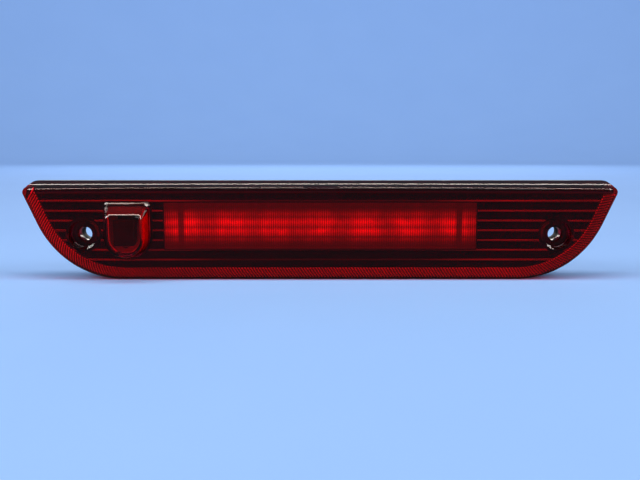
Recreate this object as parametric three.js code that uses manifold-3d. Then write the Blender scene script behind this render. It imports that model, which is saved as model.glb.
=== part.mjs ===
// Third brake light for a van tailgate: a red lens welded to a black housing, with a row of LEDs
// behind a ribbed dark bezel and a rear washer jet under a clear red hood on the lens.
// Millimetres. X runs across the lamp, Z is up, and the lens faces -Y. "Depth" is the distance
// ahead of the mounting plane (y = -depth), so what lies behind that plane has a negative depth.
// The origin is on the mounting plane, midway between the two screw axes.
import * as THREE from 'three';
import { mergeVertices } from 'three/addons/utils/BufferGeometryUtils.js';
import Module from 'manifold-3d';

const wasm = await Module();
wasm.setup();

// Outline of the lens, seen from the front
const HALF_WIDTH = 160;
const TOP = 29;
const BOTTOM = -24.6;
const END_SLANT = THREE.MathUtils.degToRad(23.4); // lean of the two ends from upright
const LOWER_RADIUS = 50;
const TIP_RADIUS = 5;
const LEAST_RADIUS = 0.6; // of a corner that an inset has used up

// Lens shell
const FACE_DEPTH = 20;
const RIM_DEPTH = 8; // where the lens is welded to the housing
const WALL = 2.4;
const BORDER_WIDTH = 5;
const BORDER_FALL = 2.4; // how far the border slopes back from the face
const SHOULDER_STEPS = 3;
const SHOULDER_RISER = 0.35;
const SHOULDER_DROP = 0.2; // below the outline's top edge

// Fits
const GAP = 0.3; // between pieces that rest on each other
const FIT = 0.4; // around a piece that passes through another
const OVERLAP = 1; // how far a cutter or a joined piece runs past a face

// Screw wells
const SCREW_FROM_END = 22.5; // screw axis to the slanted end at the same height
const CUP_RADIUS = 7.4;
const CUP_DEPTH = 5;
const CUP_LIP = 0.8; // chamfer round its mouth
const BORE_RADIUS = 3.8;
const WELL_WALL = 2;
const BOSS_RADIUS = 7;
const SLEEVE_RADIUS = 5.2;
const SLEEVE_LENGTH = 6.4;

// Washer jet hood
const HOOD_FROM_SCREW = 24.4;
const HOOD_WIDTH = 24.7;
const HOOD_TOP = 17.5;
const HOOD_BOTTOM = -12.9;
const HOOD_HEIGHT = 11; // how far it stands out of the face
const HOOD_DRAFT = 2.2;
const HOOD_TOP_FALL = 5.6; // drop of the hood's top edge from the face to its front
const HOOD_WALL = 1.8;
const HOOD_TOP_RADIUS = 2.5;
const SPRAY_SLOT = [9, 5]; // across the hood, along its depth
const SPRAY_FROM_FACE = 0.6;

// Window in the bezel
const WINDOW_FROM_HOOD = 5.9;
const WINDOW_FROM_TOP = 12.2;
const WINDOW_FROM_BOTTOM = 16.1;
const LED_COUNT = 7;

// Bezel and optic
const BEZEL_GAP = 0.6; // crest of its ribs to the lens
const BEZEL_SHEET = 1.8;
const RIB_PITCH = 5.3;
const RIB_HEIGHT = 1.8;
const RIB_WIDTH = 2.4;
const LEG_RADIUS = 2;
const OPTIC_SHEET = 1.5;
const OPTIC_RISE = 1.6;
const OPTIC_LAP = 1.6; // behind the window's edge
const FLUTES_PER_CELL = 6;
const FLUTE_DEPTH = 0.5;

// Reflector, board and LEDs
const REFLECTOR_BACK = 1.2;
const REFLECTOR_WALL = 0.7; // half of the web between two cups
const LED_SIZE = 7.6;
const LED_BODY = 4.2;
const LED_DOME = [2.7, 2.3]; // radius, height
const BOARD_DEPTH = -2.7; // front face of the board
const BOARD_SHEET = 1.6;
const BOARD_OVERHANG = 3;
const BOARD_CLEARANCE = 1; // to the box above and below
const BOARD_SCREW_CELLS = [-2.5, -1.5, 1.5, 2.5]; // in cell pitches from the middle
const SCREW_HEAD = [2.6, 1.5]; // radius, height
const SCREW_SHANK = [1.1, 4.5]; // radius, length past the board
const CROSS_RECESS = [0.8, 3.2]; // width, length
const STANDOFF_RADIUS = 3;
const FOOT_RADIUS = 1.5;
const FOOT_FROM_EDGE = 3;
const RESISTOR_SIZE = [6.3, 1.1, 3.2];
const RESISTOR_COUNT = 4;
const DIODE_SIZE = [4.6, 2.2, 3.6];
const DIODE_CELL = 1.5;

// Housing
const FLOOR_DEPTH = 5;
const HOUSING_BACK = 3;
const BOX_BACK = -12;
const BOX_WALL = 2;
const RIM_INSET = 0.6;
const RIM_WALL = 3.6;
const TONGUE_WALL = 1.4;
const TONGUE_RISE = 5;
const GUSSET = [3.5, 1.6]; // reach, thickness

// Seals
const GASKET_INSET = 2;
const GASKET_WIDTH = 4;
const GASKET_BACK = -1; // free thickness reaches behind the mounting plane
const BOSS_SEAL_WIDTH = 2.6;

// Connector and vent
const SOCKET_SIZE = [16, 13]; // outside, across and up
const SOCKET_WALL = 1.6;
const SOCKET_BACK = -21;
const SOCKET_FLOOR = -9;
const LATCH = [4, 2, 1]; // across, along, up
const TERMINAL_SIZE = [2.8, 0.8];
const TERMINAL_SPACING = 6;
const TERMINAL_BACK = -18;
const VENT_CELL = 2;
const VENT_RADIUS = 2.5;
const VENT_CAP = [5, 3]; // radius, height
const VENT_EDGE = 0.8;

// Washer jet
const JET_STEM_RADIUS = 6;
const JET_HEAD_HEIGHT = 14;
const JET_HEAD_CLEARANCE = 1.3; // to the inside of the hood's front
const JET_HEAD_FRONT = 28.6;
const JET_HEAD_BACK = 14;
const JET_FLANGE = [8.6, 2]; // radius, thickness
const JET_CHANNEL_RADIUS = 1.3;
const JET_BARB_END = -18;
const BARB_RADIUS = 2.6;
const BARB_ROOT = 2.1;
const BARB_PITCH = 4;
const BARB_COUNT = 2;
const BALL_RADIUS = 3.2;
const BALL_DROP = 1; // ball centre above the underside of the head
const BALL_BORE_RADIUS = 0.7;
const RETAINER_HEIGHT = 1.6;
const RETAINER_WALL = 1.2;
const RING_SECTION = [1.8, 0.6]; // width, thickness

// Fineness of round pieces
const ROUND = 28;
const SMALL_ROUND = 14;
const ARC_STEPS = 6;

// Places worked out from the sizes above
const END_REACH = (HALF_WIDTH - TIP_RADIUS) * Math.cos(END_SLANT)
  - (TOP - TIP_RADIUS) * Math.sin(END_SLANT) + TIP_RADIUS; // origin to the slanted end
const SCREW_X = END_REACH / Math.cos(END_SLANT) - SCREW_FROM_END;
const HOOD_X = -(SCREW_X - HOOD_FROM_SCREW);
const WINDOW_HALF = -HOOD_X - HOOD_WIDTH / 2 - WINDOW_FROM_HOOD;
const WINDOW_TOP = TOP - WINDOW_FROM_TOP;
const WINDOW_BOTTOM = BOTTOM + WINDOW_FROM_BOTTOM;
const WINDOW_HEIGHT = WINDOW_TOP - WINDOW_BOTTOM;
const ROW_Z = (WINDOW_TOP + WINDOW_BOTTOM) / 2;
const CELL_PITCH = (2 * WINDOW_HALF) / LED_COUNT;
const FACE_TOP = TOP - BORDER_WIDTH - SHOULDER_DROP;
const SHOULDER_TOP = TOP - SHOULDER_DROP;
const BOARD_BACK = BOARD_DEPTH - BOARD_SHEET;
const BEZEL_DEPTH = FACE_DEPTH - WALL - BEZEL_GAP - RIB_HEIGHT;
const BORDER_SLOPE = BORDER_WIDTH / BORDER_FALL;
const BEZEL_INSET = WALL + FIT + BORDER_SLOPE * Math.max(BORDER_FALL - BEZEL_GAP, 0);
const OPTIC_FRONT = BEZEL_DEPTH - BEZEL_SHEET - GAP;
const OPTIC_BACK = OPTIC_FRONT - OPTIC_SHEET;
const BALL_Z = (HOOD_TOP + HOOD_BOTTOM) / 2 - JET_HEAD_HEIGHT / 2 + BALL_DROP;
const BALL_DEPTH = FACE_DEPTH + SPRAY_FROM_FACE + SPRAY_SLOT[1] / 2;

// ---- solids ----

// Turns a closed geometry into a solid, whichever way its faces were wound.
function solid(geometry) {
  const bare = geometry.index ? geometry.toNonIndexed() : geometry;
  bare.deleteAttribute('normal');
  bare.deleteAttribute('uv');
  const merged = mergeVertices(bare, 1e-4);
  const places = merged.attributes.position.array;
  const corner = (i) => new THREE.Vector3().fromArray(places, 3 * i);
  const faces = [];
  let volume = 0;
  for (let i = 0; i < merged.index.count; i += 3) {
    const [a, b, c] = merged.index.array.slice(i, i + 3);
    if (a === b || b === c || c === a) continue;
    faces.push([a, b, c]);
    volume += corner(a).dot(corner(b).cross(corner(c)));
  }
  const triVerts = new Uint32Array(faces.flatMap(([a, b, c]) => (volume > 0 ? [a, b, c] : [a, c, b])));
  const vertProperties = new Float32Array(places);
  return new wasm.Manifold(new wasm.Mesh({ numProp: 3, vertProperties, triVerts }));
}

// A flat outline, drawn in X and Z, carried from one depth to another.
function prism(shape, back, front) {
  const settings = { depth: front - back, bevelEnabled: false, curveSegments: ARC_STEPS };
  const geometry = new THREE.ExtrudeGeometry(shape, settings);
  return solid(geometry.translate(0, 0, back).rotateX(Math.PI / 2));
}

// A skin over outlines that have as many points as each other, from the rearmost to the foremost.
function loft(sections) {
  const rings = sections.map(([shape]) => shape.extractPoints(ARC_STEPS).shape);
  const count = rings[0].length;
  const last = (rings.length - 1) * count;
  const cap = THREE.ShapeUtils.triangulateShape(rings[0], []).flat();
  const faces = [...cap, ...cap.map((corner) => corner + last).reverse()];
  for (let ring = 0; ring < last; ring += count) {
    for (let i = 0; i < count; i += 1) {
      const here = ring + i;
      const next = ring + ((i + 1) % count);
      faces.push(next, here, here + count, next, here + count, next + count);
    }
  }
  const places = sections.flatMap(([, depth], ring) => (
    rings[ring].map((point) => new THREE.Vector3(point.x, -depth, point.y))));
  return solid(new THREE.BufferGeometry().setFromPoints(places).setIndex(faces));
}

// An outline carried forward, whose front edge then slopes inwards all round.
function slopedPrism(outline, inset, back, front, width, fall) {
  return loft([[outline(inset), back], [outline(inset), front - fall], [outline(inset + width), front]]);
}

// A side profile of [depth, z] points carried across the lamp along X.
function crossBar(points, fromX, toX) {
  const shape = new THREE.Shape(points.map(([depth, z]) => new THREE.Vector2(-depth, z)));
  const geometry = new THREE.ExtrudeGeometry(shape, { depth: toX - fromX, bevelEnabled: false });
  const alongX = new THREE.Matrix4().makeBasis(
    new THREE.Vector3(0, 1, 0), new THREE.Vector3(0, 0, 1), new THREE.Vector3(1, 0, 0));
  return solid(geometry.translate(0, 0, fromX).applyMatrix4(alongX));
}

function block(fromX, toX, back, front, fromZ, toZ) {
  const geometry = new THREE.BoxGeometry(toX - fromX, front - back, toZ - fromZ);
  return solid(geometry.translate((fromX + toX) / 2, -(back + front) / 2, (fromZ + toZ) / 2));
}

function post(x, z, radius, back, front, sides = ROUND) {
  const geometry = new THREE.CylinderGeometry(radius, radius, front - back, sides);
  return solid(geometry.translate(x, -(back + front) / 2, z));
}

// A turned piece on an axis along depth, from [radius, depth] points that start and end on the axis.
function turned(x, z, points, sides = ROUND) {
  const profile = points.map(([radius, depth]) => new THREE.Vector2(radius, -depth));
  return solid(new THREE.LatheGeometry(profile, sides).translate(x, 0, z));
}

function joined(pieces) {
  return pieces.reduce((whole, piece) => whole.add(piece));
}

function cut(body, cutters) {
  return cutters.reduce((rest, cutter) => rest.subtract(cutter), body);
}

// ---- shared outlines ----

// The lens outline moved inwards: arched corners below, small ones at the tips, slanted ends.
function lampOutline(inset) {
  const reach = END_REACH - inset;
  const top = TOP - inset;
  const bottom = BOTTOM + inset;
  const tipRadius = Math.max(TIP_RADIUS - inset, LEAST_RADIUS);
  const lowRadius = LOWER_RADIUS - inset;
  const centreX = (z, radius) => (reach - radius + Math.sin(END_SLANT) * z) / Math.cos(END_SLANT);
  const tipZ = top - tipRadius;
  const lowZ = bottom + lowRadius;
  const tipX = centreX(tipZ, tipRadius);
  const lowX = centreX(lowZ, lowRadius);
  const shape = new THREE.Shape();
  shape.moveTo(-lowX, bottom);
  shape.absarc(lowX, lowZ, lowRadius, -Math.PI / 2, -END_SLANT, false);
  shape.absarc(tipX, tipZ, tipRadius, -END_SLANT, Math.PI / 2, false);
  shape.absarc(-tipX, tipZ, tipRadius, Math.PI / 2, Math.PI + END_SLANT, false);
  shape.absarc(-lowX, lowZ, lowRadius, Math.PI + END_SLANT, 1.5 * Math.PI, false);
  return shape;
}

// A closed band along the outline, between two insets.
function band(outer, width, back, front) {
  const inner = prism(lampOutline(outer + width), back - OVERLAP, front + OVERLAP);
  return prism(lampOutline(outer), back, front).subtract(inner);
}

// The hood's outline: a shield with a half-round bottom.
function hoodOutline(inset) {
  const half = HOOD_WIDTH / 2 - inset;
  const top = HOOD_TOP - inset;
  const corner = Math.max(HOOD_TOP_RADIUS - inset, LEAST_RADIUS);
  const archZ = HOOD_BOTTOM + HOOD_WIDTH / 2;
  const shape = new THREE.Shape();
  shape.moveTo(HOOD_X + half, archZ);
  shape.absarc(HOOD_X + half - corner, top - corner, corner, 0, Math.PI / 2, false);
  shape.absarc(HOOD_X - half + corner, top - corner, corner, Math.PI / 2, Math.PI, false);
  shape.absarc(HOOD_X, archZ, half, Math.PI, 2 * Math.PI, false);
  return shape;
}

// ---- lens ----

// The lens as a solid block: sloping border, flat face, and a stepped shoulder along the top.
function lensBlock(inset, face, back) {
  const outline = slopedPrism(lampOutline, inset, back, face, BORDER_WIDTH, BORDER_FALL);
  const low = BOTTOM - OVERLAP;
  const behind = RIM_DEPTH / 2;
  const profile = [[behind, low], [face, low], [face, FACE_TOP - inset]];
  const run = (FACE_DEPTH - RIM_DEPTH) / SHOULDER_STEPS;
  const rise = (SHOULDER_TOP - FACE_TOP) / SHOULDER_STEPS;
  for (let step = 1; step <= SHOULDER_STEPS; step += 1) {
    const z = FACE_TOP - inset + rise * step;
    profile.push([face - run * step, z - SHOULDER_RISER]);
    profile.push([face - run * step, z]);
  }
  profile.push([behind, SHOULDER_TOP - inset]);
  return outline.intersect(crossBar(profile, -2 * HALF_WIDTH, 2 * HALF_WIDTH));
}

// The hood as a solid: drafted shield with its top falling towards its front.
function hoodBlock(inset, front, back) {
  const shield = slopedPrism(hoodOutline, inset, back, front, HOOD_DRAFT, front - FACE_DEPTH);
  const top = HOOD_TOP - inset;
  const slope = HOOD_TOP_FALL / HOOD_HEIGHT;
  const reach = front - FACE_DEPTH + OVERLAP;
  const over = crossBar([
    [FACE_DEPTH, top],
    [FACE_DEPTH + reach, top - slope * reach],
    [FACE_DEPTH + reach, top + HOOD_HEIGHT],
    [FACE_DEPTH, top + HOOD_HEIGHT],
  ], HOOD_X - HOOD_WIDTH, HOOD_X + HOOD_WIDTH);
  return shield.subtract(over);
}

function wellBody(x) {
  const cupBack = FACE_DEPTH - CUP_DEPTH - WELL_WALL;
  return turned(x, 0, [
    [0, RIM_DEPTH + GAP], [BOSS_RADIUS, RIM_DEPTH + GAP], [BOSS_RADIUS, cupBack],
    [CUP_RADIUS + WELL_WALL, cupBack], [CUP_RADIUS + WELL_WALL, FACE_DEPTH - WALL / 2],
    [0, FACE_DEPTH - WALL / 2],
  ]);
}

function wellCut(x) {
  return turned(x, 0, [
    [0, RIM_DEPTH - OVERLAP], [BORE_RADIUS, RIM_DEPTH - OVERLAP],
    [BORE_RADIUS, FACE_DEPTH - CUP_DEPTH], [CUP_RADIUS, FACE_DEPTH - CUP_DEPTH],
    [CUP_RADIUS, FACE_DEPTH - CUP_LIP], [CUP_RADIUS + CUP_LIP + OVERLAP, FACE_DEPTH + OVERLAP],
    [0, FACE_DEPTH + OVERLAP],
  ]);
}

function sprayCut() {
  const [across, along] = SPRAY_SLOT;
  const x = HOOD_X;
  return block(x - across / 2, x + across / 2, BALL_DEPTH - along / 2, BALL_DEPTH + along / 2,
    HOOD_BOTTOM - OVERLAP, HOOD_BOTTOM + HOOD_WIDTH / 2);
}

function outerLens() {
  const shell = lensBlock(0, FACE_DEPTH, RIM_DEPTH)
    .subtract(lensBlock(WALL, FACE_DEPTH - WALL, RIM_DEPTH - OVERLAP));
  const hoodFront = FACE_DEPTH + HOOD_HEIGHT;
  const duct = prism(hoodOutline(0), RIM_DEPTH + GAP, FACE_DEPTH - OVERLAP);
  const body = joined([shell, duct, hoodBlock(0, hoodFront, FACE_DEPTH - WALL),
    wellBody(-SCREW_X), wellBody(SCREW_X)]);
  const ductCut = prism(hoodOutline(HOOD_WALL), RIM_DEPTH - OVERLAP, FACE_DEPTH);
  const hoodCut = hoodBlock(HOOD_WALL, hoodFront - HOOD_WALL, FACE_DEPTH - OVERLAP);
  return cut(body, [ductCut, hoodCut, sprayCut(), wellCut(-SCREW_X), wellCut(SCREW_X)]);
}

// ---- bezel, optic and reflector ----

function innerBezel() {
  const back = BEZEL_DEPTH - BEZEL_SHEET;
  const pieces = [prism(lampOutline(BEZEL_INSET), back, BEZEL_DEPTH)];
  const low = BOTTOM + BEZEL_INSET + RIB_WIDTH;
  const high = FACE_TOP - BEZEL_SHEET - RIB_WIDTH;
  const ribs = Math.floor((high - low) / RIB_PITCH);
  const trim = prism(lampOutline(BEZEL_INSET), back, BEZEL_DEPTH + RIB_HEIGHT);
  for (let rib = 0; rib <= ribs; rib += 1) {
    const z = high - rib * RIB_PITCH;
    const bar = crossBar([
      [BEZEL_DEPTH - BEZEL_SHEET / 2, z - RIB_WIDTH / 2],
      [BEZEL_DEPTH - BEZEL_SHEET / 2, z + RIB_WIDTH / 2],
      [BEZEL_DEPTH + RIB_HEIGHT, z],
    ], -HALF_WIDTH, HALF_WIDTH);
    pieces.push(bar.intersect(trim));
  }
  const legX = WINDOW_HALF + LEG_RADIUS;
  for (const x of [-legX, 0, legX]) {
    const z = (WINDOW_BOTTOM + BOTTOM) / 2;
    pieces.push(post(x, z, LEG_RADIUS, FLOOR_DEPTH + GAP, BEZEL_DEPTH - OVERLAP, SMALL_ROUND));
  }
  const front = BEZEL_DEPTH + RIB_HEIGHT + OVERLAP;
  const cutters = [
    block(-WINDOW_HALF, WINDOW_HALF, back - OVERLAP, front, WINDOW_BOTTOM, WINDOW_TOP),
    block(-HALF_WIDTH, HALF_WIDTH, back - OVERLAP, front, FACE_TOP - WALL - FIT, TOP + OVERLAP),
    prism(hoodOutline(-FIT), back - OVERLAP, front),
  ];
  for (const x of [-SCREW_X, SCREW_X]) {
    cutters.push(post(x, 0, CUP_RADIUS + WELL_WALL + FIT, back - OVERLAP, front));
  }
  return cut(joined(pieces), cutters);
}

function innerOptic() {
  const rear = block(-WINDOW_HALF - OPTIC_LAP, WINDOW_HALF + OPTIC_LAP, OPTIC_BACK, OPTIC_FRONT,
    WINDOW_BOTTOM - OPTIC_LAP, WINDOW_TOP + OPTIC_LAP);
  const half = WINDOW_HALF - FIT;
  const face = block(-half, half, OPTIC_FRONT - OPTIC_SHEET / 2, OPTIC_FRONT + OPTIC_RISE,
    WINDOW_BOTTOM + FIT, WINDOW_TOP - FIT);
  const pitch = CELL_PITCH / FLUTES_PER_CELL;
  const crest = OPTIC_FRONT + OPTIC_RISE;
  const grooves = [];
  for (let flute = 0; flute < FLUTES_PER_CELL * LED_COUNT; flute += 1) {
    const x = -WINDOW_HALF + flute * pitch + pitch / 2;
    const groove = new THREE.Shape();
    groove.moveTo(x - pitch / 3, -crest - OVERLAP);
    groove.lineTo(x + pitch / 3, -crest - OVERLAP);
    groove.lineTo(x, -crest + FLUTE_DEPTH);
    const settings = { depth: WINDOW_HEIGHT + 2 * OVERLAP, bevelEnabled: false };
    grooves.push(solid(new THREE.ExtrudeGeometry(groove, settings)
      .translate(0, 0, WINDOW_BOTTOM - OVERLAP)));
  }
  return cut(rear.add(face), grooves);
}

// A four-sided cup from the LED's opening to its cell's mouth.
function cupCut(x) {
  const deep = OPTIC_BACK - GAP - REFLECTOR_BACK;
  const mouth = CELL_PITCH - 2 * REFLECTOR_WALL;
  const throat = LED_SIZE + 2 * FIT;
  const halfDiagonal = Math.SQRT1_2;
  const geometry = new THREE.CylinderGeometry(throat * halfDiagonal, mouth * halfDiagonal, deep, 4);
  geometry.rotateY(Math.PI / 4).translate(x, -REFLECTOR_BACK - deep / 2, ROW_Z);
  return solid(geometry);
}

function reflector() {
  const halfX = WINDOW_HALF - GAP;
  const halfZ = WINDOW_HEIGHT / 2 - GAP;
  const front = OPTIC_BACK - GAP;
  const pieces = [block(-halfX, halfX, REFLECTOR_BACK, front, ROW_Z - halfZ, ROW_Z + halfZ)];
  for (const side of [-1, 1]) {
    for (const rise of [-1, 1]) {
      pieces.push(post(side * (halfX - FOOT_FROM_EDGE), ROW_Z + rise * (halfZ - FOOT_FROM_EDGE), FOOT_RADIUS,
        BOARD_DEPTH + GAP, REFLECTOR_BACK + OVERLAP, SMALL_ROUND));
    }
  }
  return cut(joined(pieces), cellCentres().map(cupCut));
}

function cellCentres() {
  return Array.from({ length: LED_COUNT }, (_, cell) => (cell - (LED_COUNT - 1) / 2) * CELL_PITCH);
}

// ---- board and what it carries ----

function boardHalfHeight() {
  return WINDOW_HEIGHT / 2 - BOARD_CLEARANCE;
}

function screwPlaces() {
  return BOARD_SCREW_CELLS.map((cell) => [cell * CELL_PITCH, ROW_Z]);
}

function circuitBoard() {
  const halfX = WINDOW_HALF + BOARD_OVERHANG;
  const halfZ = boardHalfHeight();
  const sheet = block(-halfX, halfX, BOARD_BACK, BOARD_DEPTH, ROW_Z - halfZ, ROW_Z + halfZ);
  const holes = screwPlaces().map(([x, z]) => (
    post(x, z, SCREW_SHANK[0] + FIT, BOARD_BACK - OVERLAP, BOARD_DEPTH + OVERLAP, SMALL_ROUND)));
  return cut(sheet, holes);
}

function led(x) {
  const back = BOARD_DEPTH + GAP;
  const half = LED_SIZE / 2;
  const body = block(x - half, x + half, back, back + LED_BODY, ROW_Z - half, ROW_Z + half);
  const top = back + LED_BODY;
  const [radius, height] = LED_DOME;
  const profile = [[0, top - OVERLAP], [radius, top - OVERLAP]];
  const steps = 4;
  for (let step = 0; step <= steps; step += 1) {
    const angle = (Math.PI / 2) * (step / steps);
    profile.push([radius * Math.cos(angle), top + height * Math.sin(angle)]);
  }
  profile[profile.length - 1][0] = 0;
  return body.add(turned(x, ROW_Z, profile, SMALL_ROUND));
}

function boardScrew([x, z]) {
  const [headRadius, headHeight] = SCREW_HEAD;
  const [shankRadius, shankLength] = SCREW_SHANK;
  const seat = BOARD_DEPTH + GAP;
  const [slot, reach] = CROSS_RECESS.map((size) => size / 2);
  const floor = seat + headHeight / 2;
  const over = seat + headHeight + OVERLAP;
  const cross = block(x - slot, x + slot, floor, over, z - reach, z + reach)
    .add(block(x - reach, x + reach, floor, over, z - slot, z + slot));
  const tip = seat - BOARD_SHEET - shankLength;
  const body = turned(x, z, [
    [0, tip], [shankRadius, tip + shankRadius], [shankRadius, seat], [headRadius, seat],
    [headRadius, floor], [headRadius * 0.7, seat + headHeight], [0, seat + headHeight],
  ], SMALL_ROUND);
  return body.subtract(cross);
}

function chip(x, z, [sizeX, thick, sizeZ]) {
  const front = BOARD_BACK - GAP;
  return block(x - sizeX / 2, x + sizeX / 2, front - thick, front, z - sizeZ / 2, z + sizeZ / 2);
}

// ---- connector and vent ----

function connectorShell() {
  const [width, height] = SOCKET_SIZE;
  const front = BOARD_BACK - GAP;
  const outside = block(-width / 2, width / 2, SOCKET_BACK, front, ROW_Z - height / 2, ROW_Z + height / 2);
  const [latchWidth, latchLength, latchRise] = LATCH;
  const latchBack = SOCKET_BACK + latchLength;
  const latch = block(-latchWidth / 2, latchWidth / 2, latchBack, latchBack + latchLength,
    ROW_Z + height / 2 - SOCKET_WALL / 2, ROW_Z + height / 2 + latchRise);
  const inside = block(-width / 2 + SOCKET_WALL, width / 2 - SOCKET_WALL, SOCKET_BACK - OVERLAP, SOCKET_FLOOR,
    ROW_Z - height / 2 + SOCKET_WALL, ROW_Z + height / 2 - SOCKET_WALL);
  const slots = [-1, 1].map((side) => terminalBar(side, FIT / 2, SOCKET_FLOOR - OVERLAP, front + OVERLAP));
  return cut(outside.add(latch), [inside, ...slots]);
}

function terminalBar(side, growth, back, front) {
  const [width, thick] = TERMINAL_SIZE;
  const x = side * TERMINAL_SPACING / 2;
  return block(x - width / 2 - growth, x + width / 2 + growth, back, front,
    ROW_Z - thick / 2 - growth, ROW_Z + thick / 2 + growth);
}

function ventCap() {
  const x = VENT_CELL * CELL_PITCH;
  const [radius, height] = VENT_CAP;
  const seat = BOX_BACK - GAP;
  const stemTop = BOX_BACK + BOX_WALL + FIT;
  return turned(x, ROW_Z, [
    [0, seat - height], [radius - VENT_EDGE, seat - height], [radius, seat - height + VENT_EDGE],
    [radius, seat], [VENT_RADIUS - GAP, seat], [VENT_RADIUS - GAP, stemTop], [0, stemTop],
  ]);
}

// ---- housing ----

function bossBody(x) {
  return post(x, 0, BOSS_RADIUS, 0, RIM_DEPTH);
}

function bossCut(x) {
  return turned(x, 0, [
    [0, -OVERLAP], [SLEEVE_RADIUS + GAP, -OVERLAP], [SLEEVE_RADIUS + GAP, SLEEVE_LENGTH + GAP],
    [BORE_RADIUS, SLEEVE_LENGTH + GAP], [BORE_RADIUS, RIM_DEPTH + OVERLAP], [0, RIM_DEPTH + OVERLAP],
  ]);
}

function boxHalfWidth() {
  return WINDOW_HALF + BOARD_OVERHANG + FIT + BOX_WALL;
}

// Webs between the rear box and the back of the flange.
function boxGussets() {
  const [reach, thickness] = GUSSET;
  const places = [-1, ...cellCentres().slice(1).map((x) => (x - CELL_PITCH / 2) / WINDOW_HALF), 1];
  const sides = [[WINDOW_TOP + BOX_WALL, reach], [WINDOW_BOTTOM - BOX_WALL, -reach]];
  return places.flatMap((place) => sides.map(([edge, out]) => crossBar([
    [HOUSING_BACK + OVERLAP, edge - out / 2], [HOUSING_BACK + OVERLAP, edge + out],
    [HOUSING_BACK, edge + out], [BOX_BACK + BOX_WALL, edge], [BOX_BACK + BOX_WALL, edge - out / 2],
  ], place * WINDOW_HALF - thickness / 2, place * WINDOW_HALF + thickness / 2)));
}

function rearHousing() {
  const boxX = boxHalfWidth();
  const front = RIM_DEPTH - GAP;
  const tongueInset = WALL + FIT;
  const tongueBack = FLOOR_DEPTH - OVERLAP;
  const tongueRoom = lensBlock(tongueInset, FACE_DEPTH - tongueInset, tongueBack);
  const pieces = [
    prism(lampOutline(RIM_INSET), HOUSING_BACK, FLOOR_DEPTH),
    band(RIM_INSET, RIM_WALL, HOUSING_BACK, front),
    band(tongueInset, TONGUE_WALL, tongueBack, FLOOR_DEPTH + TONGUE_RISE).intersect(tongueRoom),
    block(-boxX, boxX, BOX_BACK, FLOOR_DEPTH, WINDOW_BOTTOM - BOX_WALL, WINDOW_TOP + BOX_WALL),
    ...boxGussets(),
    prism(hoodOutline(0), HOUSING_BACK, front),
    bossBody(-SCREW_X),
    bossBody(SCREW_X),
  ];
  const cutters = [
    block(-boxX + BOX_WALL, boxX - BOX_WALL, BOX_BACK + BOX_WALL, FLOOR_DEPTH + OVERLAP,
      WINDOW_BOTTOM, WINDOW_TOP),
    prism(hoodOutline(HOOD_WALL), HOUSING_BACK + BOX_WALL, front + OVERLAP),
    post(HOOD_X, jetZ(), JET_STEM_RADIUS + GAP, HOUSING_BACK - OVERLAP, FLOOR_DEPTH + OVERLAP),
    bossCut(-SCREW_X),
    bossCut(SCREW_X),
    connectorCut(),
    post(VENT_CELL * CELL_PITCH, ROW_Z, VENT_RADIUS, BOX_BACK - OVERLAP, BOX_BACK + BOX_WALL + OVERLAP),
  ];
  const standoffs = screwPlaces().map(([x, z]) => (
    post(x, z, STANDOFF_RADIUS, BOX_BACK + BOX_WALL / 2, BOARD_BACK - GAP, SMALL_ROUND)
      .subtract(post(x, z, SCREW_SHANK[0] + GAP, BOX_BACK + BOX_WALL, BOARD_BACK + OVERLAP, SMALL_ROUND))));
  return joined([cut(joined(pieces), cutters), ...standoffs]);
}

function connectorCut() {
  const [width, height] = SOCKET_SIZE;
  return block(-width / 2 - GAP, width / 2 + GAP, BOX_BACK - OVERLAP, BOX_BACK + BOX_WALL + OVERLAP,
    ROW_Z - height / 2 - GAP, ROW_Z + height / 2 + GAP);
}

// ---- seals and sleeves ----

function ring(x, z, inner, outer, back, front) {
  return post(x, z, outer, back, front).subtract(post(x, z, inner, back - OVERLAP, front + OVERLAP));
}

// ---- washer jet ----

function jetZ() {
  return (HOOD_TOP + HOOD_BOTTOM) / 2;
}

// A ball centred in the jet's socket.
function ballAt(radius) {
  return solid(new THREE.SphereGeometry(radius, SMALL_ROUND + 6, SMALL_ROUND - 2).rotateX(Math.PI / 2)
    .translate(HOOD_X, -BALL_DEPTH, BALL_Z));
}

function upright(radius, fromZ, toZ, sides = ROUND) {
  const geometry = new THREE.CylinderGeometry(radius, radius, toZ - fromZ, sides).rotateX(Math.PI / 2);
  return solid(geometry.translate(HOOD_X, -BALL_DEPTH, (fromZ + toZ) / 2));
}

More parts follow.
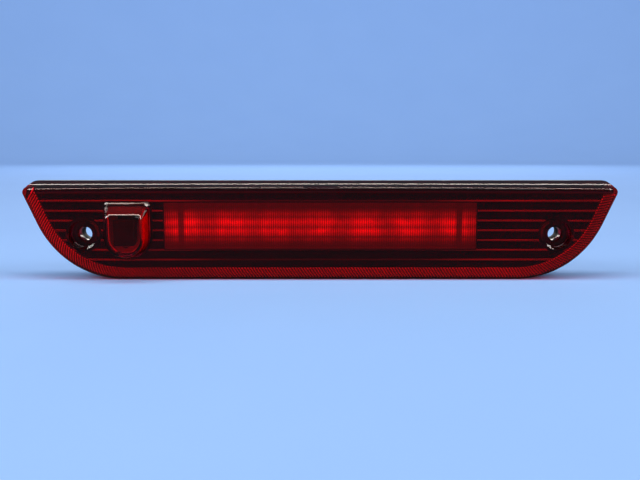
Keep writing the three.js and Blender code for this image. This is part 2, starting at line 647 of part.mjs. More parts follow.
function jetBody() {
  const z = jetZ();
  const [flangeRadius, flangeSheet] = JET_FLANGE;
  const flangeFront = HOUSING_BACK - GAP - RING_SECTION[1] - GAP;
  const low = z - JET_HEAD_HEIGHT / 2;
  const headInset = HOOD_WALL + HOOD_DRAFT + JET_HEAD_CLEARANCE;
  const shield = prism(hoodOutline(headInset), JET_HEAD_BACK, JET_HEAD_FRONT);
  const head = shield.intersect(block(HOOD_X - HOOD_WIDTH, HOOD_X + HOOD_WIDTH, JET_HEAD_BACK - OVERLAP,
    JET_HEAD_FRONT + OVERLAP, low, low + JET_HEAD_HEIGHT));
  const barbProfile = [[0, JET_BARB_END]];
  for (let barb = 0; barb < BARB_COUNT; barb += 1) {
    const end = JET_BARB_END + barb * BARB_PITCH;
    barbProfile.push([BARB_ROOT, end], [BARB_RADIUS, end + BARB_PITCH]);
  }
  const barbsEnd = JET_BARB_END + BARB_COUNT * BARB_PITCH;
  barbProfile.push([BARB_ROOT, barbsEnd], [BARB_ROOT, flangeFront], [0, flangeFront]);
  const barb = turned(HOOD_X, z, barbProfile, SMALL_ROUND);
  const pieces = [
    head,
    post(HOOD_X, z, JET_STEM_RADIUS, flangeFront - OVERLAP, JET_HEAD_BACK + OVERLAP),
    post(HOOD_X, z, flangeRadius, flangeFront - flangeSheet, flangeFront),
    barb,
  ];
  const seatTop = BALL_Z + RETAINER_HEIGHT;
  return cut(joined(pieces), [
    post(HOOD_X, z, JET_CHANNEL_RADIUS, JET_BARB_END - OVERLAP, BALL_DEPTH, SMALL_ROUND),
    upright(JET_CHANNEL_RADIUS, BALL_Z, z, SMALL_ROUND),
    ballAt(BALL_RADIUS + GAP),
    upright(BALL_RADIUS + RETAINER_WALL + GAP, low - OVERLAP, seatTop),
  ]);
}

function jetBall() {
  const reach = 2 * BALL_RADIUS;
  return ballAt(BALL_RADIUS).subtract(upright(BALL_BORE_RADIUS, BALL_Z - reach, BALL_Z + reach, SMALL_ROUND));
}

function jetRetainer() {
  const low = jetZ() - JET_HEAD_HEIGHT / 2;
  return upright(BALL_RADIUS + RETAINER_WALL, low, BALL_Z + RETAINER_HEIGHT - GAP)
    .subtract(ballAt(BALL_RADIUS + GAP));
}

function jetSeal() {
  const front = HOUSING_BACK - GAP;
  const [width, thickness] = RING_SECTION;
  const inner = JET_STEM_RADIUS + GAP;
  return ring(HOOD_X, jetZ(), inner, inner + width, front - thickness, front);
}

// ---- assembly ----

const FINISHES = {
  redLens: { color: 0x7d0710, roughness: 0.06, metalness: 0 },
  blackPlastic: { color: 0x141416, roughness: 0.55, metalness: 0 },
  darkTrim: { color: 0x1a1012, roughness: 0.25, metalness: 0.1 },
  clearOptic: { color: 0xc01a20, roughness: 0.1, metalness: 0 },
  metallised: { color: 0xd8d8da, roughness: 0.12, metalness: 1 },
  board: { color: 0x1d5a34, roughness: 0.5, metalness: 0 },
  ledBody: { color: 0xd9d5c8, roughness: 0.35, metalness: 0 },
  steel: { color: 0xa9abae, roughness: 0.35, metalness: 1 },
  tinned: { color: 0xc9c6bd, roughness: 0.3, metalness: 1 },
  foam: { color: 0x232325, roughness: 0.95, metalness: 0 },
  rubber: { color: 0x1c1c1d, roughness: 0.8, metalness: 0 },
  ceramic: { color: 0x2a2a2c, roughness: 0.5, metalness: 0 },
};

const lamp = new THREE.Group();

function place(name, body, finish) {
  const mesh = body.getMesh();
  const geometry = new THREE.BufferGeometry();
  geometry.setAttribute('position', new THREE.BufferAttribute(mesh.vertProperties.slice(), 3));
  geometry.setIndex(new THREE.BufferAttribute(mesh.triVerts.slice(), 1));
  geometry.computeVertexNormals();
  const piece = new THREE.Mesh(geometry, new THREE.MeshStandardMaterial(FINISHES[finish]));
  piece.name = name;
  lamp.add(piece);
}

place('outer_lens', outerLens(), 'redLens');
place('rear_housing', rearHousing(), 'blackPlastic');
place('inner_bezel', innerBezel(), 'darkTrim');
place('inner_optic', innerOptic(), 'clearOptic');
place('reflector', reflector(), 'metallised');
place('circuit_board', circuitBoard(), 'board');
cellCentres().forEach((x, index) => place(`led_${index + 1}`, led(x), 'ledBody'));
screwPlaces().forEach((spot, index) => place(`board_screw_${index + 1}`, boardScrew(spot), 'steel'));
for (let index = 0; index < RESISTOR_COUNT; index += 1) {
  const x = (index - (RESISTOR_COUNT - 1) / 2) * CELL_PITCH * 1.5;
  place(`resistor_${index + 1}`, chip(x, ROW_Z + WINDOW_HEIGHT / 4 + 1, RESISTOR_SIZE), 'ceramic');
}
place('reverse_diode', chip(DIODE_CELL * CELL_PITCH, ROW_Z - WINDOW_HEIGHT / 4, DIODE_SIZE), 'ceramic');
place('connector_shell', connectorShell(), 'blackPlastic');
[-1, 1].forEach((side, index) => (
  place(`terminal_${index + 1}`, terminalBar(side, 0, TERMINAL_BACK, BOARD_BACK - GAP), 'tinned')));
place('vent_cap', ventCap(), 'rubber');
place('perimeter_gasket', band(GASKET_INSET, GASKET_WIDTH, GASKET_BACK, HOUSING_BACK - GAP), 'foam');
for (const [name, x] of [['left', -SCREW_X], ['right', SCREW_X]]) {
  const inner = BOSS_RADIUS + GAP;
  const seal = ring(x, 0, inner, inner + BOSS_SEAL_WIDTH, GASKET_BACK, HOUSING_BACK - GAP);
  place(`boss_seal_${name}`, seal, 'foam');
  place(`screw_sleeve_${name}`, ring(x, 0, BORE_RADIUS, SLEEVE_RADIUS, 0, SLEEVE_LENGTH), 'steel');
}
place('jet_body', jetBody(), 'blackPlastic');
place('jet_ball', jetBall(), 'steel');
place('jet_retainer', jetRetainer(), 'blackPlastic');
place('jet_seal', jetSeal(), 'rubber');

export default lamp;
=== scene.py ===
"""Third brake light: a red lens on a black housing, with seven LEDs behind a ribbed bezel.

Metres throughout. X runs across the lamp, Z is up and the lens faces -Y, so "depth" below is the
distance ahead of the mounting plane and a point at that depth has y = -depth.
"""
import logging
import math
from dataclasses import dataclass, field
from enum import Enum

import bmesh
import bpy
from mathutils import Matrix, Vector


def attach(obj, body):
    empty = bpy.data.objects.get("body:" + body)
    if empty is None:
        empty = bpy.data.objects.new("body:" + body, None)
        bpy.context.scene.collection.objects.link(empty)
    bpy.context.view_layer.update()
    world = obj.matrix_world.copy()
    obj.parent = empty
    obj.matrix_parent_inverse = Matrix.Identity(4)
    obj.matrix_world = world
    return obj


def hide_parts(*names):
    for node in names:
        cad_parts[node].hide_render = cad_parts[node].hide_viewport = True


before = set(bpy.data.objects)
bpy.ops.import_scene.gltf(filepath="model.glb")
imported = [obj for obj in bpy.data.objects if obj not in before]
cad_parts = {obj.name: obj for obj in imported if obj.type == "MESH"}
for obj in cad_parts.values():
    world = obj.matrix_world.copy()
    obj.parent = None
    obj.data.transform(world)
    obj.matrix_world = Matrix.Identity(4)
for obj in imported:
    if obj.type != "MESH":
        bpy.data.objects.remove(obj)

LOG = logging.getLogger("brake_light")
MM = 0.001
LAMP = "lamp"
JET = "jet_nozzle"
JET_X = -103.162
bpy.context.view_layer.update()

Colour = tuple[float, float, float]
Places = list[Vector]


def place(x: float, z: float, depth: float) -> Vector:
    """Gives a point, in metres, from millimetres across, up and ahead of the mounting plane."""
    return Vector((x * MM, -depth * MM, z * MM))


def arc(x: float, z: float, radius: float, start: float, end: float, steps: int) -> list[tuple]:
    """Lists points along an arc in the XZ plane, both ends included.

    Args:
        x: Centre, across.
        z: Centre, up.
        radius: Radius of the arc.
        start: First angle in degrees, anticlockwise from +X.
        end: Last angle in degrees.
        steps: Number of pieces in the arc.

    Returns:
        Pairs of x and z.
    """
    turns = [math.radians(start + (end - start) * step / steps) for step in range(steps + 1)]
    return [(x + radius * math.cos(turn), z + radius * math.sin(turn)) for turn in turns]


# ---- outlines ----

@dataclass(frozen=True)
class LampShape:
    """Outline of the lens from the front, in millimetres: slanted ends and arched lower corners."""

    half_width: float = 160.0
    top: float = 29.0
    bottom: float = -24.6
    slant: float = 23.4
    low_radius: float = 50.0
    tip_radius: float = 5.0
    least_tip: float = 0.6
    arch: float = 1.2
    arch_from: float = 12.0
    arch_to: float = 20.0
    low_steps: int = 20
    tip_steps: int = 8
    bar_steps: int = 30

    def reach(self) -> float:
        """Gives the distance from the origin to the slanted end.

        Returns:
            The distance, square to the end.
        """
        lean = math.radians(self.slant)
        across = (self.half_width - self.tip_radius) * math.cos(lean)
        return across - (self.top - self.tip_radius) * math.sin(lean) + self.tip_radius

    def centre_x(self, z: float, radius: float, inset: float) -> float:
        """Gives the centre of an arc of that radius that touches the moved-in slanted end."""
        lean = math.radians(self.slant)
        return (self.reach() - inset - radius + math.sin(lean) * z) / math.cos(lean)

    def half(self, inset: float, top: float, tip: float) -> list[tuple]:
        """Lists the right half of the outline, from the bottom's middle to the top's middle.

        Args:
            inset: How far the end and the bottom move inwards.
            top: Height of the top edge.
            tip: Radius of the upper corner.

        Returns:
            Pairs of x and z.
        """
        low = self.low_radius - inset
        low_z = self.bottom + inset + low
        low_x = self.centre_x(low_z, low, inset)
        tip_z = top - tip
        tip_x = self.centre_x(tip_z, tip, inset)
        bar = self.bar_steps
        points = [(low_x * step / bar, self.bottom + inset) for step in range(bar)]
        points += arc(low_x, low_z, low, -90, -self.slant, self.low_steps)
        points += arc(tip_x, tip_z, tip, -self.slant, 90, self.tip_steps)
        points += [(tip_x * (1 - step / bar), top) for step in range(1, bar + 1)]
        return points

    def sag(self, x: float, z: float, depth: float) -> float:
        """Gives how far the arched top edge lies below its middle at a point.

        Args:
            x: Place across.
            z: Height.
            depth: Distance ahead of the mounting plane.

        Returns:
            The fall in millimetres.
        """
        ahead = min(max((depth - self.arch_from) / (self.arch_to - self.arch_from), 0.0), 1.0)
        return self.arch * (x / self.half_width) ** 2 * ahead * min(max(z / self.top, 0.0), 1.0)

    def ring(self, depth: float, inset: float, top: float, tip: float) -> Places:
        """Lists the whole outline at a depth.

        Args:
            depth: Distance ahead of the mounting plane.
            inset: How far the ends and the bottom move inwards.
            top: Height of the top edge.
            tip: Radius of the two upper corners.

        Returns:
            Points in metres, anticlockwise from the bottom's middle.
        """
        right = self.half(inset, top, tip)
        left = [(-x, z) for x, z in reversed(right[1:-1])]
        return [place(x, z - self.sag(x, z, depth), depth) for x, z in right + left]

    def lower_path(self, inset: float, count: int) -> list[tuple]:
        """Lists evenly spaced points down one end, along the bottom and up the other end.

        Args:
            inset: How far the path lies inside the outline.
            count: Number of pieces in it.

        Returns:
            Pairs of x and z.
        """
        tip = max(self.tip_radius - inset, self.least_tip)
        right = self.half(inset, self.top - inset, tip)
        right = right[: self.bar_steps + self.low_steps + 2]
        path = [(-x, z) for x, z in reversed(right[1:])] + right
        runs = [math.dist(a, b) for a, b in zip(path, path[1:])]
        pitch = sum(runs) / count
        points = [path[0]]
        travelled = 0.0
        for (start, end), run in zip(zip(path, path[1:]), runs):
            while len(points) <= count and travelled + run >= pitch * len(points) - 1e-9:
                share = (pitch * len(points) - travelled) / run
                points.append(tuple(a + (b - a) * share for a, b in zip(start, end)))
            travelled += run
        return points

    def moved_in(self, path: list[tuple], distance: float) -> list[tuple]:
        """Moves each point of the lower path inwards, square to the path.

        Args:
            path: Pairs of x and z.
            distance: How far they move.

        Returns:
            The moved pairs.
        """
        moved = []
        for index, (x, z) in enumerate(path):
            before = path[max(index - 1, 0)]
            after = path[min(index + 1, len(path) - 1)]
            share = distance / math.dist(before, after)
            moved.append((x - (after[1] - before[1]) * share, z + (after[0] - before[0]) * share))
        return moved


@dataclass(frozen=True)
class HoodShape:
    """Outline of the washer hood from the front, in millimetres: a shield with a round bottom."""

    x: float = JET_X
    width: float = 24.7
    top: float = 17.5
    bottom: float = -12.9
    corner: float = 2.5
    least_corner: float = 0.8
    face: float = 20.0
    top_fall: float = 5.6 / 11.0
    corner_swell: float = 0.3
    slot_angle: float = 21.37
    side_steps: int = 8
    slot_steps: int = 6
    corner_steps: int = 6

    def ring(self, depth: float, inset: float, lowered: float) -> Places:
        """Lists the hood's outline at a depth.

        Args:
            depth: Distance ahead of the mounting plane.
            inset: How far the sides and the round bottom move inwards.
            lowered: How far the top edge moves inwards.

        Returns:
            Points in metres, anticlockwise from the left end of the round bottom.
        """
        half = self.width / 2 - inset
        arch_z = self.bottom + self.width / 2
        swell = self.corner_swell * max(depth - self.face, 0.0)
        corner = max(self.corner - inset + swell, self.least_corner)
        top = self.top - lowered - self.top_fall * max(depth - self.face, 0.0)
        left, right = self.x - half, self.x + half
        slot = self.slot_angle
        points = arc(self.x, arch_z, half, 180, 270 - slot, self.side_steps)
        points += arc(self.x, arch_z, half, 270 - slot, 270 + slot, self.slot_steps)[1:]
        points += arc(self.x, arch_z, half, 270 + slot, 360, self.side_steps)[1:]
        points += [(right, arch_z + (top - corner - arch_z) / 2)]
        points += arc(right - corner, top - corner, corner, 0, 90, self.corner_steps)
        points += [(self.x, top)]
        points += arc(left + corner, top - corner, corner, 90, 180, self.corner_steps)
        points += [(left, arch_z + (top - corner - arch_z) / 2)]
        return [place(x, z, depth) for x, z in points]


LAMP_SHAPE = LampShape()
HOOD_SHAPE = HoodShape()
SCREW_X = 127.562
WINDOW_HALF = 84.912
WINDOW_TOP = 16.8
WINDOW_BOTTOM = -8.5
ROW_Z = (WINDOW_TOP + WINDOW_BOTTOM) / 2
CELLS = 7
CELL_PITCH = 2 * WINDOW_HALF / CELLS
CELL_CENTRES = [(cell - (CELLS - 1) / 2) * CELL_PITCH for cell in range(CELLS)]
WELL_SIDES = 56
TOUCHING = 1e-7


# ---- mesh work ----

class Solid:
    """A mesh being made, with short ways to use the operators that shape it."""

    def __init__(self) -> None:
        """Starts with an empty mesh."""
        self.bm = bmesh.new()

    def ring(self, places: Places) -> list:
        """Adds a closed ring of edges.

        Args:
            places: Where its points are, in order.

        Returns:
            Its vertices in that order.
        """
        made = bmesh.ops.create_circle(self.bm, segments=len(places), radius=1.0)["verts"]
        walk = [made[0], made[0].link_edges[0].other_vert(made[0])]
        while len(walk) < len(places):
            near = [edge.other_vert(walk[-1]) for edge in walk[-1].link_edges]
            walk.append(near[0] if near[1] is walk[-2] else near[1])
        for vert, spot in zip(walk, places):
            vert.co = spot
        return walk

    def chain(self, places: Places) -> tuple[list, list]:
        """Adds an open run of edges and gives its vertices and edges."""
        verts = [self.bm.verts.new(spot) for spot in places]
        return verts, [self.bm.edges.new(pair) for pair in zip(verts, verts[1:])]

    def edges_round(self, ring: list) -> list:
        """Gives the edges between a ring's vertices, the closing one included."""
        return [self.bm.edges.get(pair) for pair in zip(ring, ring[1:] + ring[:1])]

    def extrude(self, ring: list, places: Places, closed: bool = True) -> list:
        """Extrudes a ring, or an open run, to new places.

        Args:
            ring: Vertices of the ring or run.
            places: Where their copies go.
            closed: Whether it is a ring.

        Returns:
            The new vertices, in the same order.
        """
        edges = self.edges_round(ring)
        made = bmesh.ops.extrude_edge_only(self.bm, edges=edges if closed else edges[:-1])
        fresh = {item for item in made["geom"] if isinstance(item, bmesh.types.BMVert)}
        moved = []
        for vert, spot in zip(ring, places):
            near = [edge.other_vert(vert) for edge in vert.link_edges]
            twin = next(other for other in near if other in fresh)
            twin.co = spot
            moved.append(twin)
        return moved

    def loft(self, sections: list[Places]) -> tuple[list, list]:
        """Skins a run of rings.

        Args:
            sections: Points of each ring, all with the same number.

        Returns:
            Vertices of the first ring and of the last one.
        """
        first = self.ring(sections[0])
        last = first
        for section in sections[1:]:
            last = self.extrude(last, section)
        return first, last

    def cap(self, ring: list) -> None:
        """Closes a ring with one flat face."""
        bmesh.ops.edgeloop_fill(self.bm, edges=self.edges_round(ring))

    def spin(self, profile: list[tuple], x: float, z: float, steps: int = 48) -> None:
        """Turns a profile round an axis along Y.

        Args:
            profile: Pairs of radius and depth, in millimetres.
            x: Place of the axis across the lamp, in millimetres.
            z: Height of the axis, in millimetres.
            steps: Number of sides of the turned piece.
        """
        verts, edges = self.chain([place(x + radius, z, depth) for radius, depth in profile])
        bmesh.ops.spin(self.bm, geom=verts + edges, cent=place(x, z, 0), axis=(0, 1, 0),
                       dvec=(0, 0, 0), angle=math.tau, steps=steps, use_merge=True)
        bmesh.ops.remove_doubles(self.bm, verts=self.bm.verts, dist=TOUCHING)

    def turn_upright(self, places: Places, centre: Vector, steps: int) -> None:
        """Turns a profile round an upright axis.

        Args:
            places: The profile's points, in metres.
            centre: A point on the axis.
            steps: Number of sides of the turned piece.
        """
        verts, edges = self.chain(places)
        bmesh.ops.spin(self.bm, geom=verts + edges, cent=centre, axis=(0, 0, 1), dvec=(0, 0, 0),
                       angle=math.tau, steps=steps, use_merge=True)

    def block(self, low: Vector, high: Vector) -> None:
        """Adds a box.

        Args:
            low: One corner, in metres.
            high: The opposite corner.
        """
        made = bmesh.ops.create_cube(self.bm, size=1.0)["verts"]
        size = high - low
        spread = Matrix.Diagonal((abs(size.x), abs(size.y), abs(size.z), 1.0))
        middle = Matrix.Translation((low + high) / 2)
        bmesh.ops.transform(self.bm, matrix=middle @ spread, verts=made)

    def fill_plane(self, depth: float) -> None:
        """Fills all the open rings on one plane with a single flat sheet that has holes.

        Args:
            depth: Distance of the plane ahead of the mounting plane.
        """
        level = -depth * MM
        rim = [edge for edge in self.bm.edges if edge.is_boundary
               and all(abs(vert.co.y - level) < TOUCHING for vert in edge.verts)]
        made = bmesh.ops.triangle_fill(self.bm, use_beauty=True, edges=rim, normal=(0, -1, 0))
        for item in made["geom"]:
            if isinstance(item, bmesh.types.BMFace):
                item.tag = True

    def bevel_sharp(self, width: float, angle: float = 30.0, segments: int = 2) -> None:
        """Rounds every edge that is sharper than an angle.

        Args:
            width: Width of the rounding, in millimetres.
            angle: Least turn between two faces, in degrees.
            segments: Number of strips in the rounding.
        """
        least = math.radians(angle)
        edges = [edge for edge in self.bm.edges
                 if len(edge.link_faces) == 2 and edge.calc_face_angle(0.0) > least]
        bmesh.ops.bevel(self.bm, geom=edges, offset=width * MM, offset_type="OFFSET",
                        segments=segments, profile=0.5, affect="EDGES", clamp_overlap=True,
                        material=-1)

    def face_out(self) -> None:
        """Merges doubles and turns every face outwards."""
        bmesh.ops.remove_doubles(self.bm, verts=self.bm.verts, dist=TOUCHING)
        bmesh.ops.recalc_face_normals(self.bm, faces=self.bm.faces)

    def object(self, name: str, finishes: list[bpy.types.Material],
               sharp: float = 32.0) -> bpy.types.Object:
        """Makes the finished object, smooth but for its sharp edges and the rims of flat sheets.

        Args:
            name: Name of the piece.
            finishes: Its materials, in the order of the faces' numbers.
            sharp: Turn in degrees past which an edge stays crisp.

        Returns:
            The object, linked to the scene.
        """
        limit = math.radians(sharp)
        for face in self.bm.faces:
            face.smooth = True
        for edge in self.bm.edges:
            rim = len({face.tag for face in edge.link_faces}) > 1
            soft = len(edge.link_faces) == 2 and edge.calc_face_angle(0.0) < limit
            edge.smooth = soft and not rim
        mesh = bpy.data.meshes.new(name)
        self.bm.to_mesh(mesh)
        self.bm.free()
        for finish in finishes:
            mesh.materials.append(finish)
        piece = bpy.data.objects.new(name, mesh)
        bpy.context.scene.collection.objects.link(piece)
        return piece


class Cut(Enum):
    """Ways to combine two closed solids."""

    TAKE_AWAY = "DIFFERENCE"
    KEEP_COMMON = "INTERSECT"


def carve(base: Solid, steps: list[tuple[Solid, Cut]]) -> Solid:
    """Cuts a solid with others, in order.

    Args:
        base: The solid to be cut, used up here.
        steps: Each cutter with what it does, used up here.

    Returns:
        The solid that is left.
    """
    body = base.object("carve_body", [])
    tools = []
    for tool, way in steps:
        tool.face_out()
        cutter = tool.object("carve_tool", [])
        step = body.modifiers.new("carve", "BOOLEAN")
        step.operation = way.value
        step.object = cutter
        step.solver = "EXACT"
        tools.append(cutter)
    bpy.context.view_layer.update()
    rest = Solid()
    rest.bm.from_object(body, bpy.context.evaluated_depsgraph_get())
    for spent in [body, *tools]:
        bpy.data.objects.remove(spent)
    rest.face_out()
    return rest


def mount(piece: bpy.types.Object, nodes: tuple[str, ...] = (),
          body: str = LAMP) -> None:
    """Puts a piece on its body, hides the CAD nodes that it replaces and logs its size.

    Args:
        piece: The finished piece.
        nodes: CAD nodes that it replaces.
        body: Body that it rides on.
    """
    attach(piece, body)
    if nodes:
        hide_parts(*nodes)
    LOG.info("%s: %d faces, on %s", piece.name, len(piece.data.polygons), body)


# ---- finishes ----

class Wiring:
    """A node tree being wired, with short ways to add and join its nodes."""

    tree: bpy.types.NodeTree

    def feed(self, socket: bpy.types.NodeSocket, value: object) -> None:
        """Sets an input to a value, or joins it to the output that it is given.

        Args:
            socket: The input.
            value: A plain value or an output.
        """
        if isinstance(value, bpy.types.NodeSocket):
            self.tree.links.new(value, socket)
        else:
            socket.default_value = value

    def node(self, kind: str, inputs: dict | None = None, **settings: object) -> bpy.types.Node:
        """Adds a node.

        Args:
            kind: Type of the node.
            inputs: Value or source for each named or numbered input.
            settings: Properties of the node.

        Returns:
            The new node.
        """
        made = self.tree.nodes.new(kind)
        for key, value in settings.items():
            setattr(made, key, value)
        for key, value in (inputs or {}).items():
            self.feed(made.inputs[key], value)
        return made

    def math(self, operation: str, *values: object) -> bpy.types.NodeSocket:
        """Adds a Math node for one or two values and gives its output."""
        return self.node("ShaderNodeMath", dict(enumerate(values)), operation=operation).outputs[0]

    def ranged(self, value: bpy.types.NodeSocket, low: float, high: float, start: float = 0.0,
               end: float = 1.0, curve: str = "LINEAR") -> bpy.types.NodeSocket:
        """Maps a value from one range to another.

        Args:
            value: The value.
            low: Where the first range begins.
            high: Where it ends.
            start: What is given at the beginning.
            end: What is given at the end.
            curve: Type of the change between the two.

        Returns:
            The mapped value.
        """
        return self.node("ShaderNodeMapRange", {"Value": value, 1: low, 2: high, 3: start, 4: end},
                         interpolation_type=curve).outputs[0]

    def blend(self, share: object, first: object, second: object) -> bpy.types.NodeSocket:
        """Mixes two colours by a share and gives the colour between them."""
        return self.node("ShaderNodeMix", {0: share, 6: first, 7: second},
                         data_type="RGBA").outputs[2]


class Paint(Wiring):
    """One procedural material."""

    def __init__(self, name: str) -> None:
        """Starts with a Principled shader on the output.

        Args:
            name: Name of the material.
        """
        self.material = bpy.data.materials.new(name)
        self.material.use_nodes = True
        self.tree = self.material.node_tree
        self.shader = self.tree.nodes["Principled BSDF"]
        self.spots = self.node("ShaderNodeTexCoord").outputs["Object"]

    def axes(self) -> list[bpy.types.NodeSocket]:
        """Gives X, Y and Z of each spot on the piece."""
        return list(self.node("ShaderNodeSeparateXYZ", {0: self.spots}).outputs)

    def set(self, **inputs: object) -> None:
        """Sets the shader's inputs, whose names have underscores for spaces."""
        for key, value in inputs.items():
            self.feed(self.shader.inputs[key.replace("_", " ")], value)

    def group(self, tree: bpy.types.NodeTree, scale: float | None = None,
              **inputs: object) -> bpy.types.Node:
        """Adds a shared node group with its own values.

        Args:
            tree: The group.
            scale: Fineness of its pattern, per metre, where it has one.
            inputs: Its other inputs, whose names have underscores for spaces.

        Returns:
            The new node.
        """
        values = {key.replace("_", " "): value for key, value in inputs.items()}
        if scale is not None:
            values["Scale"] = scale
        made = self.node("ShaderNodeGroup", node_tree=tree)
        for key, value in {"Vector": self.spots, **values}.items():
            self.feed(made.inputs[key], value)
        return made

    def bump(self, height: bpy.types.NodeSocket, distance: float) -> None:
        """Gives the shader a bump, in metres of height."""
        made = self.node("ShaderNodeBump", {"Height": height, "Distance": distance})
        self.set(Normal=made.outputs["Normal"])


class Effect(Wiring):
    """A node group that several finishes share."""

    def __init__(self, name: str, inputs: dict, outputs: dict) -> None:
        """Starts the group with its sockets.

        Args:
            name: Name of the group.
            inputs: Socket type and default of each input.
            outputs: Socket type of each output.
        """
        self.tree = bpy.data.node_groups.new(name, "ShaderNodeTree")
        for key, (kind, default) in inputs.items():
            socket = self.tree.interface.new_socket(key, in_out="INPUT", socket_type=kind)
            if default is not None:
                socket.default_value = default
        for key, kind in outputs.items():
            self.tree.interface.new_socket(key, in_out="OUTPUT", socket_type=kind)
        self.source = self.tree.nodes.new("NodeGroupInput")
        self.result = self.tree.nodes.new("NodeGroupOutput")

    def give(self, key: str, socket: bpy.types.NodeSocket) -> None:
        """Joins a socket to one of the group's outputs."""
        self.tree.links.new(socket, self.result.inputs[key])


SMOOTH = "SMOOTHSTEP"
VECTOR = "NodeSocketVector"
FLOAT = "NodeSocketFloat"
COLOR = "NodeSocketColor"


def moulded_grain() -> bpy.types.NodeTree:
    """Makes the group for a fine spark-eroded grain: a height, and a mask for the roughness.

    Returns:
        The group.
    """
    effect = Effect("moulded_grain", {"Vector": (VECTOR, None), "Scale": (FLOAT, 1500.0)},
                    {"Height": FLOAT, "Mask": FLOAT})
    where, scale = effect.source.outputs["Vector"], effect.source.outputs["Scale"]
    fine = effect.node("ShaderNodeTexNoise", {"Vector": where, "Scale": scale, "Detail": 3.0,
                                              "Roughness": 0.6})
    cells = effect.node("ShaderNodeTexVoronoi", {"Vector": where, "Scale": scale}, feature="F1")
    height = effect.math("MULTIPLY", fine.outputs[0], cells.outputs["Distance"])
    wide = effect.node("ShaderNodeTexNoise", {"Vector": where, "Scale": 60.0, "Detail": 4.0})
    effect.give("Height", height)
    effect.give("Mask", wide.outputs[0])
    return effect.tree


def two_tone() -> bpy.types.NodeTree:
    """Makes the group that wanders between two colours and between two roughnesses.

    Returns:
        The group.
    """
    effect = Effect("two_tone", {"Vector": (VECTOR, None), "Scale": (FLOAT, 40.0),
                                 "Colour A": (COLOR, None), "Colour B": (COLOR, None),
                                 "Rough A": (FLOAT, 0.3), "Rough B": (FLOAT, 0.5)},
                    {"Colour": COLOR, "Roughness": FLOAT, "Mask": FLOAT})
    ins = effect.source.outputs
    cloud = effect.node("ShaderNodeTexNoise", {"Vector": ins["Vector"], "Scale": ins["Scale"],
                                               "Detail": 5.0, "Roughness": 0.62})
    mask = effect.ranged(cloud.outputs[0], 0.34, 0.66, curve=SMOOTH)
    rough = effect.node("ShaderNodeMix", {0: mask, 2: ins["Rough A"], 3: ins["Rough B"]},
                        data_type="FLOAT")
    effect.give("Colour", effect.blend(mask, ins["Colour A"], ins["Colour B"]))
    effect.give("Roughness", rough.outputs[0])
    effect.give("Mask", mask)
    return effect.tree


def fine_scratches() -> bpy.types.NodeTree:
    """Makes the group for handling marks: thin stretched streaks as a mask.

    Returns:
        The group.
    """
    effect = Effect("fine_scratches", {"Vector": (VECTOR, None), "Amount": (FLOAT, 0.5)},
                    {"Mask": FLOAT})
    ins = effect.source.outputs
    masks = []
    for turn, seed in ((0.5, 3.0), (-0.9, 11.0)):
        spread = effect.node("ShaderNodeMapping", {"Vector": ins["Vector"],
                                                   "Rotation": (0.0, turn, 0.0),
                                                   "Scale": (60.0, 60.0, 1400.0)})
        streak = effect.node("ShaderNodeTexNoise", {"Vector": spread.outputs[0], "Scale": 1.0,
                                                    "W": seed, "Detail": 2.0},
                             noise_dimensions="4D")
        masks.append(effect.ranged(streak.outputs[0], 0.7, 0.78))
    effect.give("Mask", effect.math("MULTIPLY", effect.math("MAXIMUM", *masks), ins["Amount"]))
    return effect.tree


@dataclass
class SharedEffects:
    """The node groups that the finishes share, each built once."""

    grain: bpy.types.NodeTree = field(default_factory=moulded_grain)
    tones: bpy.types.NodeTree = field(default_factory=two_tone)
    scratches: bpy.types.NodeTree = field(default_factory=fine_scratches)


def rgba(colour: Colour) -> tuple[float, float, float, float]:
    """Adds a full alpha to a colour."""
    return (*colour, 1.0)


def toned(paint: Paint, effects: SharedEffects, scale: float, colours: tuple[Colour, Colour],
          rough: tuple[float, float]) -> bpy.types.Node:
    """Gives a shader a wandering colour and roughness.

    Args:
        paint: The material.
        effects: The shared groups.
        scale: Fineness of the pattern, per metre.
        colours: The two colours.
        rough: The two roughnesses.

    Returns:
        The group node, for its mask.
    """
    tones = paint.group(effects.tones, scale, Colour_A=rgba(colours[0]),
                        Colour_B=rgba(colours[1]), Rough_A=rough[0], Rough_B=rough[1])
    paint.set(Base_Color=tones.outputs["Colour"], Roughness=tones.outputs["Roughness"])
    return tones


@dataclass(frozen=True)
class MouldedPlastic:
    """Black or dark moulded plastic with a fine grain."""

    name: str
    colours: tuple[Colour, Colour]
    rough: tuple[float, float] = (0.42, 0.55)
    grain_scale: float = 1800.0
    grain_height: float = 0.00006
    specular: float = 0.5

    def build(self, effects: SharedEffects) -> bpy.types.Material:
        """Makes the material.

        Args:
            effects: The shared node groups.

        Returns:
            The material.
        """
        paint = Paint(self.name)
        toned(paint, effects, 55.0, self.colours, self.rough)
        grain = paint.group(effects.grain, self.grain_scale)
        paint.bump(grain.outputs["Height"], self.grain_height)
        paint.set(Specular_IOR_Level=self.specular)
        return paint.material


@dataclass(frozen=True)
class Metal:
    """Plated, tinned, turned or vapour-coated metal."""

    name: str
    colours: tuple[Colour, Colour]
    rough: tuple[float, float] = (0.22, 0.4)
    scale: float = 180.0
    ripple: float = 0.00002

    def build(self, effects: SharedEffects) -> bpy.types.Material:
        """Makes the material.

        Args:
            effects: The shared node groups.

        Returns:
            The material.
        """
        paint = Paint(self.name)
        tones = toned(paint, effects, self.scale, self.colours, self.rough)
        paint.bump(tones.outputs["Mask"], self.ripple)
        paint.set(Metallic=1.0)
        return paint.material


